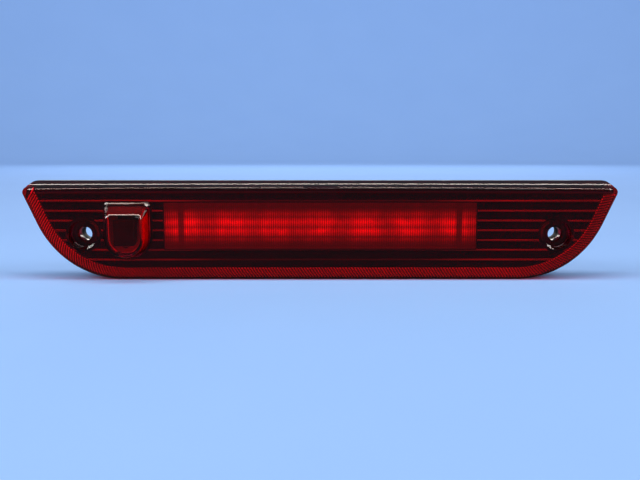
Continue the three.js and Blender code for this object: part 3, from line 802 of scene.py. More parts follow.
@dataclass(frozen=True)
class ClearRed:
    """Clear red acrylic. Light reaches what lies behind it, tinted, without being bent."""

    name: str
    colour: Colour
    shade: Colour
    through: Colour
    ior: float = 1.49

    def build(self, effects: SharedEffects) -> bpy.types.Material:
        """Makes the material.

        Args:
            effects: The shared node groups.

        Returns:
            The material.
        """
        paint = Paint(self.name)
        marks = paint.group(effects.scratches, Amount=0.3)
        rough = paint.ranged(marks.outputs["Mask"], 0.0, 1.0, 0.006, 0.05)
        flow = paint.node("ShaderNodeTexNoise", {"Vector": paint.spots, "Scale": 26.0,
                                                 "Detail": 1.0})
        paint.bump(flow.outputs[0], 0.00001)
        depth = paint.group(effects.tones, 18.0, Colour_A=rgba(self.colour),
                            Colour_B=rgba(self.shade))
        paint.set(Base_Color=depth.outputs["Colour"], Roughness=rough, Transmission_Weight=1.0,
                  IOR=self.ior)
        through = paint.node("ShaderNodeBsdfTransparent", {"Color": rgba(self.through)})
        rays = paint.node("ShaderNodeLightPath")
        mixed = paint.node("ShaderNodeMixShader", {0: rays.outputs["Is Shadow Ray"],
                                                   1: paint.shader.outputs[0],
                                                   2: through.outputs[0]})
        end = paint.tree.nodes["Material Output"]
        paint.tree.links.new(mixed.outputs[0], end.inputs["Surface"])
        return paint.material


@dataclass(frozen=True)
class RibbedTrim:
    """Glossy dark trim whose rib crests carry a painted highlight, stronger towards the lamp's two
    ends.
    """

    name: str
    dark: Colour
    painted_crest_highlight: Colour
    crest_depth: tuple[float, float] = (16.55, 16.86)
    middle: tuple[float, float] = (0.05, 0.13)

    def build(self, effects: SharedEffects) -> bpy.types.Material:
        """Makes the material.

        Args:
            effects: The shared node groups.

        Returns:
            The material.
        """
        paint = Paint(self.name)
        across, back, _ = paint.axes()
        # Painted highlight: the crests are painted bright and metallic, fading to almost nothing
        # over the middle stretch.
        ends = paint.ranged(paint.math("ABSOLUTE", across), *self.middle, 0.05, 1.0, SMOOTH)
        crest = paint.ranged(back, *(-depth * MM for depth in self.crest_depth))
        share = paint.math("MULTIPLY", ends, crest)
        wander = paint.group(effects.tones, 30.0, Colour_A=rgba(self.dark),
                             Colour_B=rgba(tuple(0.5 * c for c in self.dark)), Rough_A=0.1,
                             Rough_B=0.2)
        paint.set(Base_Color=paint.blend(share, wander.outputs["Colour"], rgba(self.painted_crest_highlight)),
                  Roughness=wander.outputs["Roughness"], Metallic=share)
        paint.bump(wander.outputs["Mask"], 0.00002)
        return paint.material


@dataclass(frozen=True)
class PillowOptic:
    """Red pillow optic with a painted glow, brighter along the LED row and at each cell's middle.
    """

    name: str
    deep: Colour
    painted_lit_red: Colour
    row_height: float = ROW_Z
    pitch: float = CELL_PITCH
    valley: float = -0.01362
    crest: float = -0.01425
    pillow: float = 1.2
    between: float = 0.55
    row_reach: tuple[float, float] = (0.0015, 0.0098)
    row_edge: float = 0.04
    gap_at: float = 0.0755
    gap_reach: tuple[float, float] = (0.0012, 0.0024)
    painted_glow: float = 1.7

    @staticmethod
    def wave(paint: Paint, across: bpy.types.NodeSocket, pitch: float) -> bpy.types.NodeSocket:
        """Gives a cosine across the lamp, whose pitch is in millimetres."""
        return paint.math("COSINE", paint.math("MULTIPLY", across, math.tau / (pitch * MM)))

    @staticmethod
    def away(paint: Paint, value: bpy.types.NodeSocket, level: float) -> bpy.types.NodeSocket:
        """Gives how far a value is from a level, in metres."""
        return paint.math("ABSOLUTE", paint.math("ADD", value, -level))

    def build(self, effects: SharedEffects) -> bpy.types.Material:
        """Makes the material.

        Args:
            effects: The shared node groups.

        Returns:
            The material.
        """
        paint = Paint(self.name)
        across, back, up = paint.axes()
        # The share sets both colour and emission: painted light along the LED row and at each
        # cell's middle, painted shade between cells and in the valleys between pillows, and darker
        # in a narrow line near each end of the window.
        cell = paint.ranged(self.wave(paint, across, self.pitch), -1.0, 0.6, self.between, 1.0,
                            SMOOTH)
        row = paint.ranged(self.away(paint, up, self.row_height * MM), *self.row_reach, 1.0,
                           self.row_edge, SMOOTH)
        cloud = paint.group(effects.tones, 120.0, Rough_A=0.06, Rough_B=0.16)
        soft = paint.ranged(cloud.outputs["Mask"], 0.0, 1.0, 0.6, 1.0)
        fine = paint.ranged(self.wave(paint, across, self.pillow), 1.0, -0.4, 0.3, 1.0)
        crest = paint.ranged(back, self.valley, self.crest, 0.05, 1.0)
        side = paint.math("ABSOLUTE", across)
        gap = paint.ranged(self.away(paint, side, self.gap_at), *self.gap_reach, 0.1, 1.0)
        share = cell
        for factor in (row, soft, fine, crest, gap):
            share = paint.math("MULTIPLY", share, factor)
        red = paint.blend(share, rgba(self.deep), rgba(self.painted_lit_red))
        # The emission is a painted glow: no lamp lights the window.
        paint.set(Base_Color=red, Roughness=cloud.outputs["Roughness"], Emission_Color=red,
                  Emission_Strength=self.painted_glow)
        paint.bump(cloud.outputs["Mask"], 0.00003)
        return paint.material


@dataclass(frozen=True)
class Foam:
    """Closed-cell foam with its open skin of small bubbles."""

    name: str
    colours: tuple[Colour, Colour]
    bubble: float = 1400.0

    def build(self, effects: SharedEffects) -> bpy.types.Material:
        """Makes the material.

        Args:
            effects: The shared node groups.

        Returns:
            The material.
        """
        paint = Paint(self.name)
        toned(paint, effects, 220.0, self.colours, (0.8, 0.95))
        cells = paint.node("ShaderNodeTexVoronoi", {"Vector": paint.spots, "Scale": self.bubble},
                           feature="SMOOTH_F1")
        paint.bump(cells.outputs["Distance"], 0.0003)
        paint.set(Specular_IOR_Level=0.25)
        return paint.material


@dataclass(frozen=True)
class Laminate:
    """Board with solder mask over copper tracks."""

    name: str
    mask: Colour
    track: Colour

    def build(self, effects: SharedEffects) -> bpy.types.Material:
        """Makes the material.

        Args:
            effects: The shared node groups.

        Returns:
            The material.
        """
        paint = Paint(self.name)
        tracks = paint.node("ShaderNodeTexBrick", {"Vector": self.upright(paint), "Scale": 1.0,
                                                   "Color1": rgba(self.mask),
                                                   "Color2": rgba(self.mask),
                                                   "Mortar": rgba(self.track),
                                                   "Mortar Size": 0.0006, "Brick Width": 0.0121,
                                                   "Row Height": 0.0045})
        tones = paint.group(effects.tones, 90.0, Rough_A=0.25, Rough_B=0.4)
        paint.set(Base_Color=tracks.outputs["Color"], Roughness=tones.outputs["Roughness"])
        paint.bump(tracks.outputs["Fac"], 0.00008)
        return paint.material

    def upright(self, paint: Paint) -> bpy.types.NodeSocket:
        """Turns the pattern into the board's plane.

        Args:
            paint: The material.

        Returns:
            Where the pattern is read.
        """
        turned = paint.node("ShaderNodeMapping", {"Vector": paint.spots,
                                                  "Rotation": (math.pi / 2, 0.0, 0.0)})
        return turned.outputs[0]


@dataclass(frozen=True)
class LedResin:
    """Pale LED package with a clear dome: lighter towards its front."""

    name: str
    package: Colour
    dome: Colour
    rim: tuple[float, float] = (-0.0016, -0.0022)

    def build(self, effects: SharedEffects) -> bpy.types.Material:
        """Makes the material.

        Args:
            effects: The shared node groups.

        Returns:
            The material.
        """
        paint = Paint(self.name)
        front = paint.ranged(paint.axes()[1], *self.rim)
        tones = paint.group(effects.tones, 300.0, Rough_A=0.12, Rough_B=0.28)
        paint.set(Base_Color=paint.blend(front, rgba(self.package), rgba(self.dome)),
                  Roughness=tones.outputs["Roughness"])
        paint.bump(tones.outputs["Mask"], 0.00002)
        return paint.material


class Finishes:
    """All the materials, built once and kept by the record's slot names."""

    def __init__(self) -> None:
        """Builds every finish."""
        effects = SharedEffects()
        black = ((0.012, 0.012, 0.013), (0.022, 0.022, 0.024))
        gloss = (0.08, 0.16)
        makers = {
            "red_lens": ClearRed("clear_red", (0.50, 0.004, 0.02), (0.44, 0.003, 0.015),
                                 (0.95, 0.07, 0.10)),
            "lens_flutes": MouldedPlastic("fluted_crimson", ((1.0, 0.03, 0.28), (0.85, 0.02, 0.2)),
                                          gloss, 900.0, 0.00002),
            "flute_shade": MouldedPlastic("flute_shade",
                                          ((0.12, 0.002, 0.01), (0.08, 0.001, 0.006)),
                                          gloss, 900.0, 0.00002),
            "bezel_plastic": RibbedTrim("trim_painted_highlight", (0.005, 0.002, 0.002), (1.0, 0.46, 0.42)),
            "optic_plastic": PillowOptic("pillow_optic", (0.05, 0.001, 0.001), (1.0, 0.03, 0.03)),
            "metallised_plastic": Metal("metallised", ((0.86, 0.86, 0.88), (0.78, 0.78, 0.8)),
                                        (0.05, 0.12), 60.0, 0.00001),
            "housing_plastic": MouldedPlastic("housing_black", black),
            "jet_plastic": MouldedPlastic("jet_black", black, (0.28, 0.4), 1200.0, 0.00003),
            "seal_rubber": MouldedPlastic("seal_rubber",
                                          ((0.018, 0.018, 0.018), (0.03, 0.03, 0.03)),
                                          (0.6, 0.75), 900.0, 0.00008, 0.3),
            "chip_ceramic": MouldedPlastic("chip_black",
                                           ((0.02, 0.02, 0.022), (0.035, 0.035, 0.037)),
                                           (0.35, 0.5), 2600.0, 0.00003),
            "plated_steel": Metal("zinc_plate", ((0.56, 0.57, 0.6), (0.44, 0.45, 0.47))),
            "near_black_matte": MouldedPlastic("near_black_matte", ((0.02, 0.02, 0.022), (0.012, 0.012, 0.013)),
                                         (0.5, 0.65), 800.0, 0.00002, 0.2),
            "tinned_brass": Metal("tin_plate", ((0.72, 0.7, 0.64), (0.6, 0.58, 0.52))),
            "jet_brass": Metal("turned_brass", ((0.74, 0.55, 0.25), (0.62, 0.43, 0.17)),
                               (0.16, 0.3), 400.0),
            "seal_foam": Foam("black_foam", ((0.02, 0.02, 0.021), (0.045, 0.045, 0.047))),
            "board_laminate": Laminate("green_board", (0.015, 0.12, 0.035), (0.05, 0.22, 0.07)),
            "led_resin": LedResin("led_resin", (0.62, 0.6, 0.55), (0.85, 0.8, 0.66)),
            "weld": MouldedPlastic("weld_bead", ((0.5, 0.012, 0.06), (0.4, 0.008, 0.04)),
                                   (0.3, 0.5), 500.0, 0.0001),
        }
        self.made = {slot: maker.build(effects) for slot, maker in makers.items()}

    def __getitem__(self, slot: str) -> bpy.types.Material:
        """Gives the material of a slot."""
        return self.made[slot]


# ---- lens ----

@dataclass
class LensShell:
    """The clear red lens: face, sloping border, stepped shoulder, screw wells and washer hood.

    Each outline section gives depth, inset, height of the top edge and radius of the upper corners.
    """

    inner: tuple = ((17.6, 2.7, 22.2, 1.6), (17.35, 1.9, 22.7, 1.8), (16.9, 1.2, 23.1, 2.2),
                    (16.0, 1.0, 23.4, 2.4), (13.6, 1.0, 24.2, 2.8), (9.6, 1.6, 25.2, 3.0),
                    (8.0, 2.4, 25.6, 2.6))
    outer: tuple = ((8.0, 0.0, 28.45, 5.0), (13.9, 0.0, 27.2, 4.0), (14.3, 0.0, 26.8, 3.8),
                    (16.9, 0.0, 26.32, 3.0), (17.35, 0.12, 26.24, 2.9), (17.75, 0.45, 26.16, 2.7),
                    (18.08, 1.0, 26.1, 2.5), (19.3, 3.54, 25.87, 1.9), (19.7, 4.4, 25.6, 1.7),
                    (19.88, 4.85, 25.3, 1.6), (20.0, 5.7, 24.85, 1.4))
    well: tuple = ((8.3, 20.0), (7.9, 19.93), (7.6, 19.72), (7.43, 19.4), (7.4, 19.0), (7.4, 15.5),
                   (7.28, 15.18), (6.95, 15.0), (4.05, 15.0), (3.86, 14.94), (3.8, 14.8),
                   (3.8, 8.3), (7.0, 8.3), (7.0, 13.0), (9.4, 13.0), (9.4, 17.6))
    hood_outer: tuple = ((20.0, -0.9, -0.9), (20.12, -0.5, -0.5), (20.32, -0.15, -0.15),
                         (20.6, 0.12, 0.05), (25.6, 1.12, 0.1), (29.4, 1.88, 0.2),
                         (30.2, 2.15, 0.45), (30.7, 2.6, 0.9), (30.93, 3.2, 1.5), (31.0, 4.0, 2.3))
    hood_inner: tuple = ((17.6, 0.0, 0.0), (8.3, 0.0, 0.0), (8.3, 1.8, 1.8), (20.0, 1.8, 1.8),
                         (20.6, 1.92, 1.8), (25.6, 2.92, 1.8), (28.0, 3.4, 1.9),
                         (28.8, 3.9, 2.4), (29.2, 5.0, 3.4))
    slot: tuple = (4.6, 20.5, 25.7)
    slot_below: float = -5.0
    face_depth: float = 20.0
    inner_depth: float = 17.6

    def build(self, finishes: Finishes) -> None:
        """Makes the lens and puts it in the place of the CAD one.

        Args:
            finishes: The materials by slot name.
        """
        lens = Solid()
        lens.loft([LAMP_SHAPE.ring(*section) for section in self.inner + self.outer])
        for x in (-SCREW_X, SCREW_X):
            lens.spin(self.well, x, 0.0, WELL_SIDES)
        for sections in (self.hood_outer, self.hood_inner):
            last = lens.loft([HOOD_SHAPE.ring(*section) for section in sections])[1]
            lens.cap(last)
        lens.fill_plane(self.face_depth)
        lens.fill_plane(self.inner_depth)
        self.open_slot(lens)
        lens.face_out()
        mount(lens.object("lens_shell", [finishes["red_lens"]], 25.0), ("outer_lens",))

    def open_slot(self, lens: Solid) -> None:
        """Opens the spray slot through the hood's round bottom.

        Args:
            lens: The lens, whose flat sheets are tagged.
        """
        half, near, far = self.slot
        gone = []
        for face in lens.bm.faces:
            middle = face.calc_center_median() / MM
            within = abs(middle.x - HOOD_SHAPE.x) < half and near < -middle.y < far
            if within and middle.z < self.slot_below and not face.tag:
                gone.append(face)
        bmesh.ops.delete(lens.bm, geom=gone, context="FACES")
        rim = [edge for edge in lens.bm.edges if edge.is_boundary]
        bmesh.ops.bridge_loops(lens.bm, edges=rim)


@dataclass
class BorderFlutes:
    """The band of fine slanted flutes under the border, down both ends and along the bottom.

    Each row gives inset, depth, half the flutes' height, and how many columns it is moved along.
    """

    count: int = 450
    rows: tuple = ((1.08, 13.5, 0.0, 4), (1.12, 15.9, 0.1, 4), (1.7, 16.5, 0.2, 4),
                   (3.0, 16.95, 0.25, 3), (6.2, 17.15, 0.2, 0), (6.35, 16.6, 0.0, 0))
    slanted_by: int = 4
    thickness: float = 0.5

    def build(self, finishes: Finishes) -> None:
        """Makes the band.

        Args:
            finishes: The materials by slot name.
        """
        band = Solid()
        row, columns = None, {}
        edge = self.rows[0][0]
        outer = LAMP_SHAPE.lower_path(edge, self.count)
        for inset, depth, height, shift in self.rows:
            path = LAMP_SHAPE.moved_in(outer, inset - edge)
            part = path[shift: len(path) - self.slanted_by + shift]
            places = [place(x, z, depth + (height if step % 2 else -height))
                      for step, (x, z) in enumerate(part)]
            row = band.extrude(row, places, closed=False) if row else band.chain(places)[0]
            columns.update((vert, step) for step, vert in enumerate(row))
        # Painted light and shade: every other column takes the dark flute_shade copy of the
        # crimson, the same all along the band whichever way each flute faces.
        for face in band.bm.faces:
            face.material_index = min(columns[vert] for vert in face.verts) % 2
        bmesh.ops.recalc_face_normals(band.bm, faces=band.bm.faces)
        bmesh.ops.solidify(band.bm, geom=band.bm.faces, thickness=self.thickness * MM)
        band.face_out()
        shades = [finishes["lens_flutes"], finishes["flute_shade"]]
        mount(band.object("border_flutes", shades))


@dataclass
class WeldBead:
    """The melted bead that joins the lens to the housing."""

    sections: tuple = ((7.72, 0.3, 28.1, 4.7), (8.0, 0.3, 28.1, 4.7), (8.0, 2.0, 26.4, 3.0),
                       (7.72, 2.0, 26.4, 3.0), (7.72, 0.3, 28.1, 4.7))
    dark_above: float = 24.8

    def build(self, finishes: Finishes) -> None:
        """Makes the bead.

        Args:
            finishes: The materials by slot name.
        """
        bead = Solid()
        bead.loft([LAMP_SHAPE.ring(*section) for section in self.sections])
        bead.face_out()
        for face in bead.bm.faces:
            face.material_index = int(face.calc_center_median().z > self.dark_above * MM)
        shades = [finishes["weld"], finishes["near_black_matte"]]
        mount(bead.object("weld_bead", shades))


# ---- what shows through the lens ----

@dataclass
class BezelTrim:
    """The glossy dark trim: round horizontal ribs, the window, and room for hood and wells."""

    back: float = 13.4
    front: float = 15.2
    low: float = -24.0
    high: float = 20.3
    rib_heights: tuple = (18.0, 12.7, 7.4, 2.1, -3.2, -8.5, -13.8)
    rib_width: float = 2.4
    rib_rise: float = 1.7
    rib_steps: int = 10
    flange: tuple = ((21.6, 14.9), (22.9, 13.8), (22.5, 13.5))
    reach: float = 159.0
    inset: float = 6.55
    fit: float = 0.4
    well_radius: float = 9.8
    cut: tuple[float, float] = (12.0, 19.0)
    kept_top: float = 23.6
    kept_tip: float = 0.8
    corner: float = 0.8

    def profile(self) -> Places:
        """Lists the trim's cross-section, from its lower back corner round to the upper one.

        Returns:
            Points in metres at the trim's left end.
        """
        points = [(self.low, self.back), (self.low, self.front)]
        for centre in reversed(self.rib_heights):
            for step in range(self.rib_steps + 1):
                share = step / self.rib_steps
                rise = self.rib_rise * math.sin(math.pi * share) ** 0.75
                points.append((centre + self.rib_width * (share - 0.5), self.front + rise))
        points += [(self.high, self.front), *self.flange, (self.high, self.back)]
        return [place(-self.reach, z, depth) for z, depth in points]

    def build(self, finishes: Finishes) -> None:
        """Makes the trim and puts it in the place of the CAD one.

        Args:
            finishes: The materials by slot name.
        """
        bar = Solid()
        ring = bar.ring(self.profile())
        bar.cap(ring)
        pulled = bmesh.ops.extrude_face_region(bar.bm, geom=bar.bm.faces[:])["geom"]
        bmesh.ops.translate(bar.bm, vec=(2 * self.reach * MM, 0, 0),
                            verts=[item for item in pulled if isinstance(item, bmesh.types.BMVert)])
        bar.face_out()
        steps = [(self.outline(), Cut.KEEP_COMMON), (self.window(), Cut.TAKE_AWAY)]
        hood = Solid()
        sections = [HOOD_SHAPE.ring(depth, -self.fit, -self.fit) for depth in self.cut]
        for ring in hood.loft(sections):
            hood.cap(ring)
        steps.append((hood, Cut.TAKE_AWAY))
        radius, (low, high) = self.well_radius, self.cut
        for x in (-SCREW_X, SCREW_X):
            well = Solid()
            well.spin([(0, low), (radius, low), (radius, high), (0, high)], x, 0.0, WELL_SIDES)
            steps.append((well, Cut.TAKE_AWAY))
        trim = carve(bar, steps)
        mount(trim.object("bezel_trim", [finishes["bezel_plastic"]], 50.0),
              ("inner_bezel",))

    def outline(self) -> Solid:
        """Makes the prism that the trim is kept within.

        Returns:
            The prism.
        """
        prism = Solid()
        sections = [LAMP_SHAPE.ring(depth, self.inset, self.kept_top, self.kept_tip)
                    for depth in self.cut]
        for ring in prism.loft(sections):
            prism.cap(ring)
        return prism

    def window(self) -> Solid:
        """Makes the block that opens the window, with small round corners.

        Returns:
            The block.
        """
        block = Solid()
        low, high = self.cut
        block.block(place(-WINDOW_HALF, WINDOW_BOTTOM, low), place(WINDOW_HALF, WINDOW_TOP, high))
        upright = [edge for edge in block.bm.edges
                   if abs(edge.verts[0].co.y - edge.verts[1].co.y) > MM]
        bmesh.ops.bevel(block.bm, geom=upright, offset=self.corner * MM, offset_type="OFFSET",
                        segments=4, profile=0.5, affect="EDGES", material=-1)
        return block


@dataclass
class WindowOptic:
    """The clear plate in the window: fine pillows in columns, on wide level bands."""

    half: float = 84.5
    low: float = -8.1
    high: float = 16.4
    pillow: float = 1.2
    band: float = 5.3
    band_from: float = 3.4
    front: float = 13.6
    back: float = 12.9
    pillow_rise: float = 0.28
    band_rise: float = 0.45
    column_steps: int = 4
    row_steps: int = 64
    plate: tuple = (86.5, -10.1, 18.4, 11.6, 13.1)

    def rise(self, x: float, z: float) -> float:
        """Gives how far the face stands ahead of its base at a point.

        Args:
            x: Place across, in millimetres.
            z: Height, in millimetres.

        Returns:
            The rise in millimetres.
        """
        across = (x / self.pillow) % 1.0
        up = ((z - self.band_from) / self.band) % 1.0
        fine = (z / self.pillow / 2) % 1.0
        pillow = (1 - (2 * across - 1) ** 2) * (1 - 0.6 * (2 * fine - 1) ** 2)
        return self.pillow_rise * pillow + self.band_rise * (1 - (2 * up - 1) ** 2)

    def build(self, finishes: Finishes) -> None:
        """Makes the plate and puts it in the place of the CAD one.

        Args:
            finishes: The materials by slot name.
        """
        optic = Solid()
        columns = round(2 * self.half / self.pillow) * self.column_steps
        made = bmesh.ops.create_grid(optic.bm, x_segments=columns, y_segments=self.row_steps,
                                     size=1.0)["verts"]
        for vert in made:
            x = vert.co.x * self.half
            z = self.low + (vert.co.y + 1) / 2 * (self.high - self.low)
            vert.co = place(x, z, self.front + self.rise(x, z))
        rim = [edge for edge in optic.bm.edges if edge.is_boundary]
        pulled = bmesh.ops.extrude_edge_only(optic.bm, edges=rim)["geom"]
        for item in pulled:
            if isinstance(item, bmesh.types.BMVert):
                item.co.y = -self.back * MM
        back = [edge for edge in optic.bm.edges if edge.is_boundary]
        bmesh.ops.contextual_create(optic.bm, geom=back)
        half, low, high, rear, near = self.plate
        optic.block(place(-half, low, rear), place(half, high, near))
        optic.face_out()
        mount(optic.object("window_optic", [finishes["optic_plastic"]], 70.0),
              ("inner_optic",))


@dataclass
class ReflectorTray:
    """The metallised tray: seven cups that open from a round throat to a square mouth."""

    half_x: float = 84.6
    half_z: float = 12.35
    front: float = 11.3
    back: float = 1.2
    mouth: float = 11.4
    throat: float = 5.2
    sides: int = 40
    steps: int = 8

    def cup_ring(self, x: float, share: float) -> Places:
        """Lists one ring of a cup, from its throat at 0 to its mouth at 1.

        Args:
            x: Centre of the cup.
            share: How far along the cup the ring is.

        Returns:
            Points in metres.
        """
        half = self.throat + (self.mouth - self.throat) * math.sqrt(share)
        power = 2.0 + 10.0 * share
        depth = self.back + (self.front - self.back) * share
        points = []
        for side in range(self.sides):
            turn = math.tau * side / self.sides
            cos, sin = math.cos(turn), math.sin(turn)
            size = half / (abs(cos) ** power + abs(sin) ** power) ** (1 / power)
            points.append(place(x + size * cos, ROW_Z + size * sin, depth))
        return points

    def build(self, finishes: Finishes) -> None:
        """Makes the tray and puts it in the place of the CAD one.

        Args:
            finishes: The materials by slot name.
        """
        tray = Solid()
        for x in CELL_CENTRES:
            tray.loft([self.cup_ring(x, step / self.steps) for step in range(self.steps + 1)])
        corners = ((-1, -1), (1, -1), (1, 1), (-1, 1))
        tray.loft([[place(a * self.half_x, ROW_Z + b * self.half_z, depth) for a, b in corners]
                   for depth in (self.back, self.front)])
        tray.fill_plane(self.front)
        tray.fill_plane(self.back)
        tray.face_out()
        mount(tray.object("reflector_tray", [finishes["metallised_plastic"]]),
              ("reflector",))


@dataclass
class LedRow:
    """Seven LEDs: a chamfered package, a rim and a round dome."""

    size: float = 7.6
    back: float = -2.4
    front: float = 1.8
    dome: tuple = ((2.9, 1.7), (2.9, 2.05), (2.72, 2.15), (2.66, 2.5), (2.42, 3.05), (1.98, 3.55),
                   (1.38, 3.9), (0.7, 4.06), (0.0, 4.1))

    def build(self, finishes: Finishes) -> None:
        """Makes the LEDs and puts them in the place of the CAD ones.

        Args:
            finishes: The materials by slot name.
        """
        half = self.size / 2
        for count, x in enumerate(CELL_CENTRES, 1):
            led = Solid()
            led.block(place(x - half, ROW_Z - half, self.back),
                      place(x + half, ROW_Z + half, self.front))
            led.bevel_sharp(0.4, segments=3)
            led.spin(self.dome, x, ROW_Z, 32)
            rim = [edge for edge in led.bm.edges if edge.is_boundary]
            bmesh.ops.contextual_create(led.bm, geom=rim)
            led.face_out()
            mount(led.object(f"led_lamp_{count}", [finishes["led_resin"]]),
                  (f"led_{count}",))


# ---- pieces refined from the CAD solids ----

MERGED = 2e-6
FLAT_TURN = math.radians(0.6)
BROAD_FACE = 25e-6


@dataclass(frozen=True)
class Refined:
    """How one CAD solid is finished: its slot, the width of its roundings and its body."""

    node: str
    slot: str
    width: float = 0.25
    angle: float = 32.0
    body: str = LAMP
    segments: int = 2
    sharp: float = 40.0
    finish: str = ""

    def build(self, finishes: Finishes) -> None:
        """Makes a merged copy of the solid with its edges rounded.

        Args:
            finishes: The materials by slot name.
        """
        copy = Solid()
        copy.bm.from_mesh(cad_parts[self.node].data)
        bmesh.ops.remove_doubles(copy.bm, verts=copy.bm.verts, dist=MERGED)
        bmesh.ops.dissolve_limit(copy.bm, angle_limit=FLAT_TURN, verts=copy.bm.verts,
                                 edges=copy.bm.edges)
        self.shape(copy)
        copy.bevel_sharp(self.width, self.angle, self.segments)
        for face in copy.bm.faces:
            face.tag = face.calc_area() > BROAD_FACE
        bmesh.ops.recalc_face_normals(copy.bm, faces=copy.bm.faces)
        piece = copy.object(f"{self.node}_finished", [finishes[self.finish or self.slot]],
                            self.sharp)
        mount(piece, (self.node,), self.body)

    def shape(self, copy: Solid) -> None:
        """Leaves the solid's shape as it is."""


REFINED = [
    Refined("rear_housing", "housing_plastic", 0.3),
    Refined("connector_shell", "housing_plastic", 0.3),
    Refined("circuit_board", "board_laminate", 0.1),
    Refined("vent_cap", "seal_rubber", 0.4),
    Refined("perimeter_gasket", "seal_foam", 0.5, segments=3),
    Refined("boss_seal_left", "seal_foam", 0.4, segments=3),
    Refined("boss_seal_right", "seal_foam", 0.4, segments=3),
    # The screw sleeves take a near-black rough finish in place of their plating: painted shade
    # inside the screw wells.
    Refined("screw_sleeve_left", "plated_steel", 0.12, finish="near_black_matte"),
    Refined("screw_sleeve_right", "plated_steel", 0.12, finish="near_black_matte"),
    Refined("terminal_1", "tinned_brass", 0.1),
    Refined("terminal_2", "tinned_brass", 0.1),
    Refined("reverse_diode", "chip_ceramic", 0.15),
    Refined("jet_retainer", "jet_plastic", 0.12),
    Refined("jet_seal", "seal_rubber", 0.12),
    *[Refined(f"board_screw_{count}", "plated_steel", 0.12) for count in range(1, 5)],
    *[Refined(f"resistor_{count}", "chip_ceramic", 0.12) for count in range(1, 5)],
]


@dataclass(frozen=True)
class JetHead(Refined):
    """The washer jet's body, whose head is drawn in at its sides clear of the ball's socket."""

    centre: float = JET_X
    head_from: float = 13.9
    kept: float = 5.0
    share: float = 0.3

    def shape(self, copy: Solid) -> None:
        """Draws in what lies ahead of the flange and beyond the socket.

        Args:
            copy: The merged copy of the solid.
        """
        for vert in copy.bm.verts:
            away = vert.co.x / MM - self.centre
            if -vert.co.y / MM > self.head_from and abs(away) > self.kept:
                far = self.kept + (abs(away) - self.kept) * self.share
                vert.co.x = (self.centre + math.copysign(far, away)) * MM


@dataclass
class HoodLiner:
    """The crimson cup inside the hood, round the jet's head.

    The spray slot gives its half width, the height it lies below and the depth it starts at.
    """

    sections: tuple = ((26.8, 3.5, 2.6), (20.6, 2.3, 2.3), (19.6, 2.6, 2.6), (19.0, 3.6, 3.6),
                       (18.2, 7.0, 5.6))
    thickness: float = 0.5
    shade_above: float = 8.0
    slot: tuple[float, float, float] = (4.6, -8.0, 20.4)

    def build(self, finishes: Finishes) -> None:
        """Makes the cup.

        Args:
            finishes: The materials by slot name.
        """
        cup = Solid()
        cup.loft([HOOD_SHAPE.ring(*section) for section in self.sections])
        bmesh.ops.recalc_face_normals(cup.bm, faces=cup.bm.faces)
        bmesh.ops.solidify(cup.bm, geom=cup.bm.faces, thickness=self.thickness * MM)
        half, below, ahead = self.slot
        gone = []
        for face in cup.bm.faces:
            middle = face.calc_center_median() / MM
            if middle.z < below and abs(middle.x - HOOD_SHAPE.x) < half and -middle.y > ahead:
                gone.append(face)
        bmesh.ops.delete(cup.bm, geom=gone, context="FACES")
        rim = [edge for edge in cup.bm.edges if edge.is_boundary]
        bmesh.ops.holes_fill(cup.bm, edges=rim, sides=0)
        cup.face_out()
        # Level faces high in the cup take the dark flute_shade copy: painted shade on the cup's
        # top.
        for face in cup.bm.faces:
            above = face.calc_center_median().z > self.shade_above * MM
            face.material_index = int(above and abs(face.normal.z) > 0.5)
        shades = [finishes["lens_flutes"], finishes["flute_shade"]]
        mount(cup.object("hood_liner", shades))


@dataclass
class JetBall:
    """The aimable brass ball with its fine bore and a small rim round it."""

    x: float = JET_X
    depth: float = 23.1
    z: float = -3.7
    radius: float = 3.2
    bore: float = 0.7
    rim: float = 0.25
    lip: tuple[float, float] = (0.1, 0.05)
    steps: int = 40

    def build(self, finishes: Finishes) -> None:
        """Makes the ball on its own body, with its bore upright.

        Args:
            finishes: The materials by slot name.
        """
        ball = Solid()
        least = math.degrees(math.asin((self.bore + self.rim) / self.radius))
        outside = arc(0, 0, self.radius, 90 - least, least - 90, 28)
        flat = outside[0][1]
        low, lip, edge = flat - self.rim, flat - self.lip[1], self.bore + self.lip[0]
        profile = [(self.bore, -low), (self.bore, low), (edge, lip), *outside, (edge, -lip),
                   (self.bore, -low)]
        places = [place(self.x + radius, self.z + rise, self.depth) for radius, rise in profile]
        ball.turn_upright(places, place(self.x, self.z, self.depth), self.steps)
        ball.face_out()
        mount(ball.object("jet_ball_turned", [finishes["jet_brass"]]), ("jet_ball",),
              JET)


# ---- studio ----

@dataclass(frozen=True)
class SoftLight:
    """A soft box that faces a point."""

    name: str
    spot: Colour
    aim: Colour
    size: tuple[float, float]
    power: float
    colour: Colour

    def build(self) -> None:
        """Adds the light."""
        data = bpy.data.lights.new(self.name, "AREA")
        data.shape = "RECTANGLE"
        data.size, data.size_y = self.size
        data.energy = self.power
        data.color = self.colour
        light = bpy.data.objects.new(self.name, data)
        light.location = self.spot
        way = Vector(self.aim) - Vector(self.spot)
        light.visible_transmission = False
        light.rotation_euler = way.to_track_quat("-Z", "Y").to_euler()
        bpy.context.scene.collection.objects.link(light)


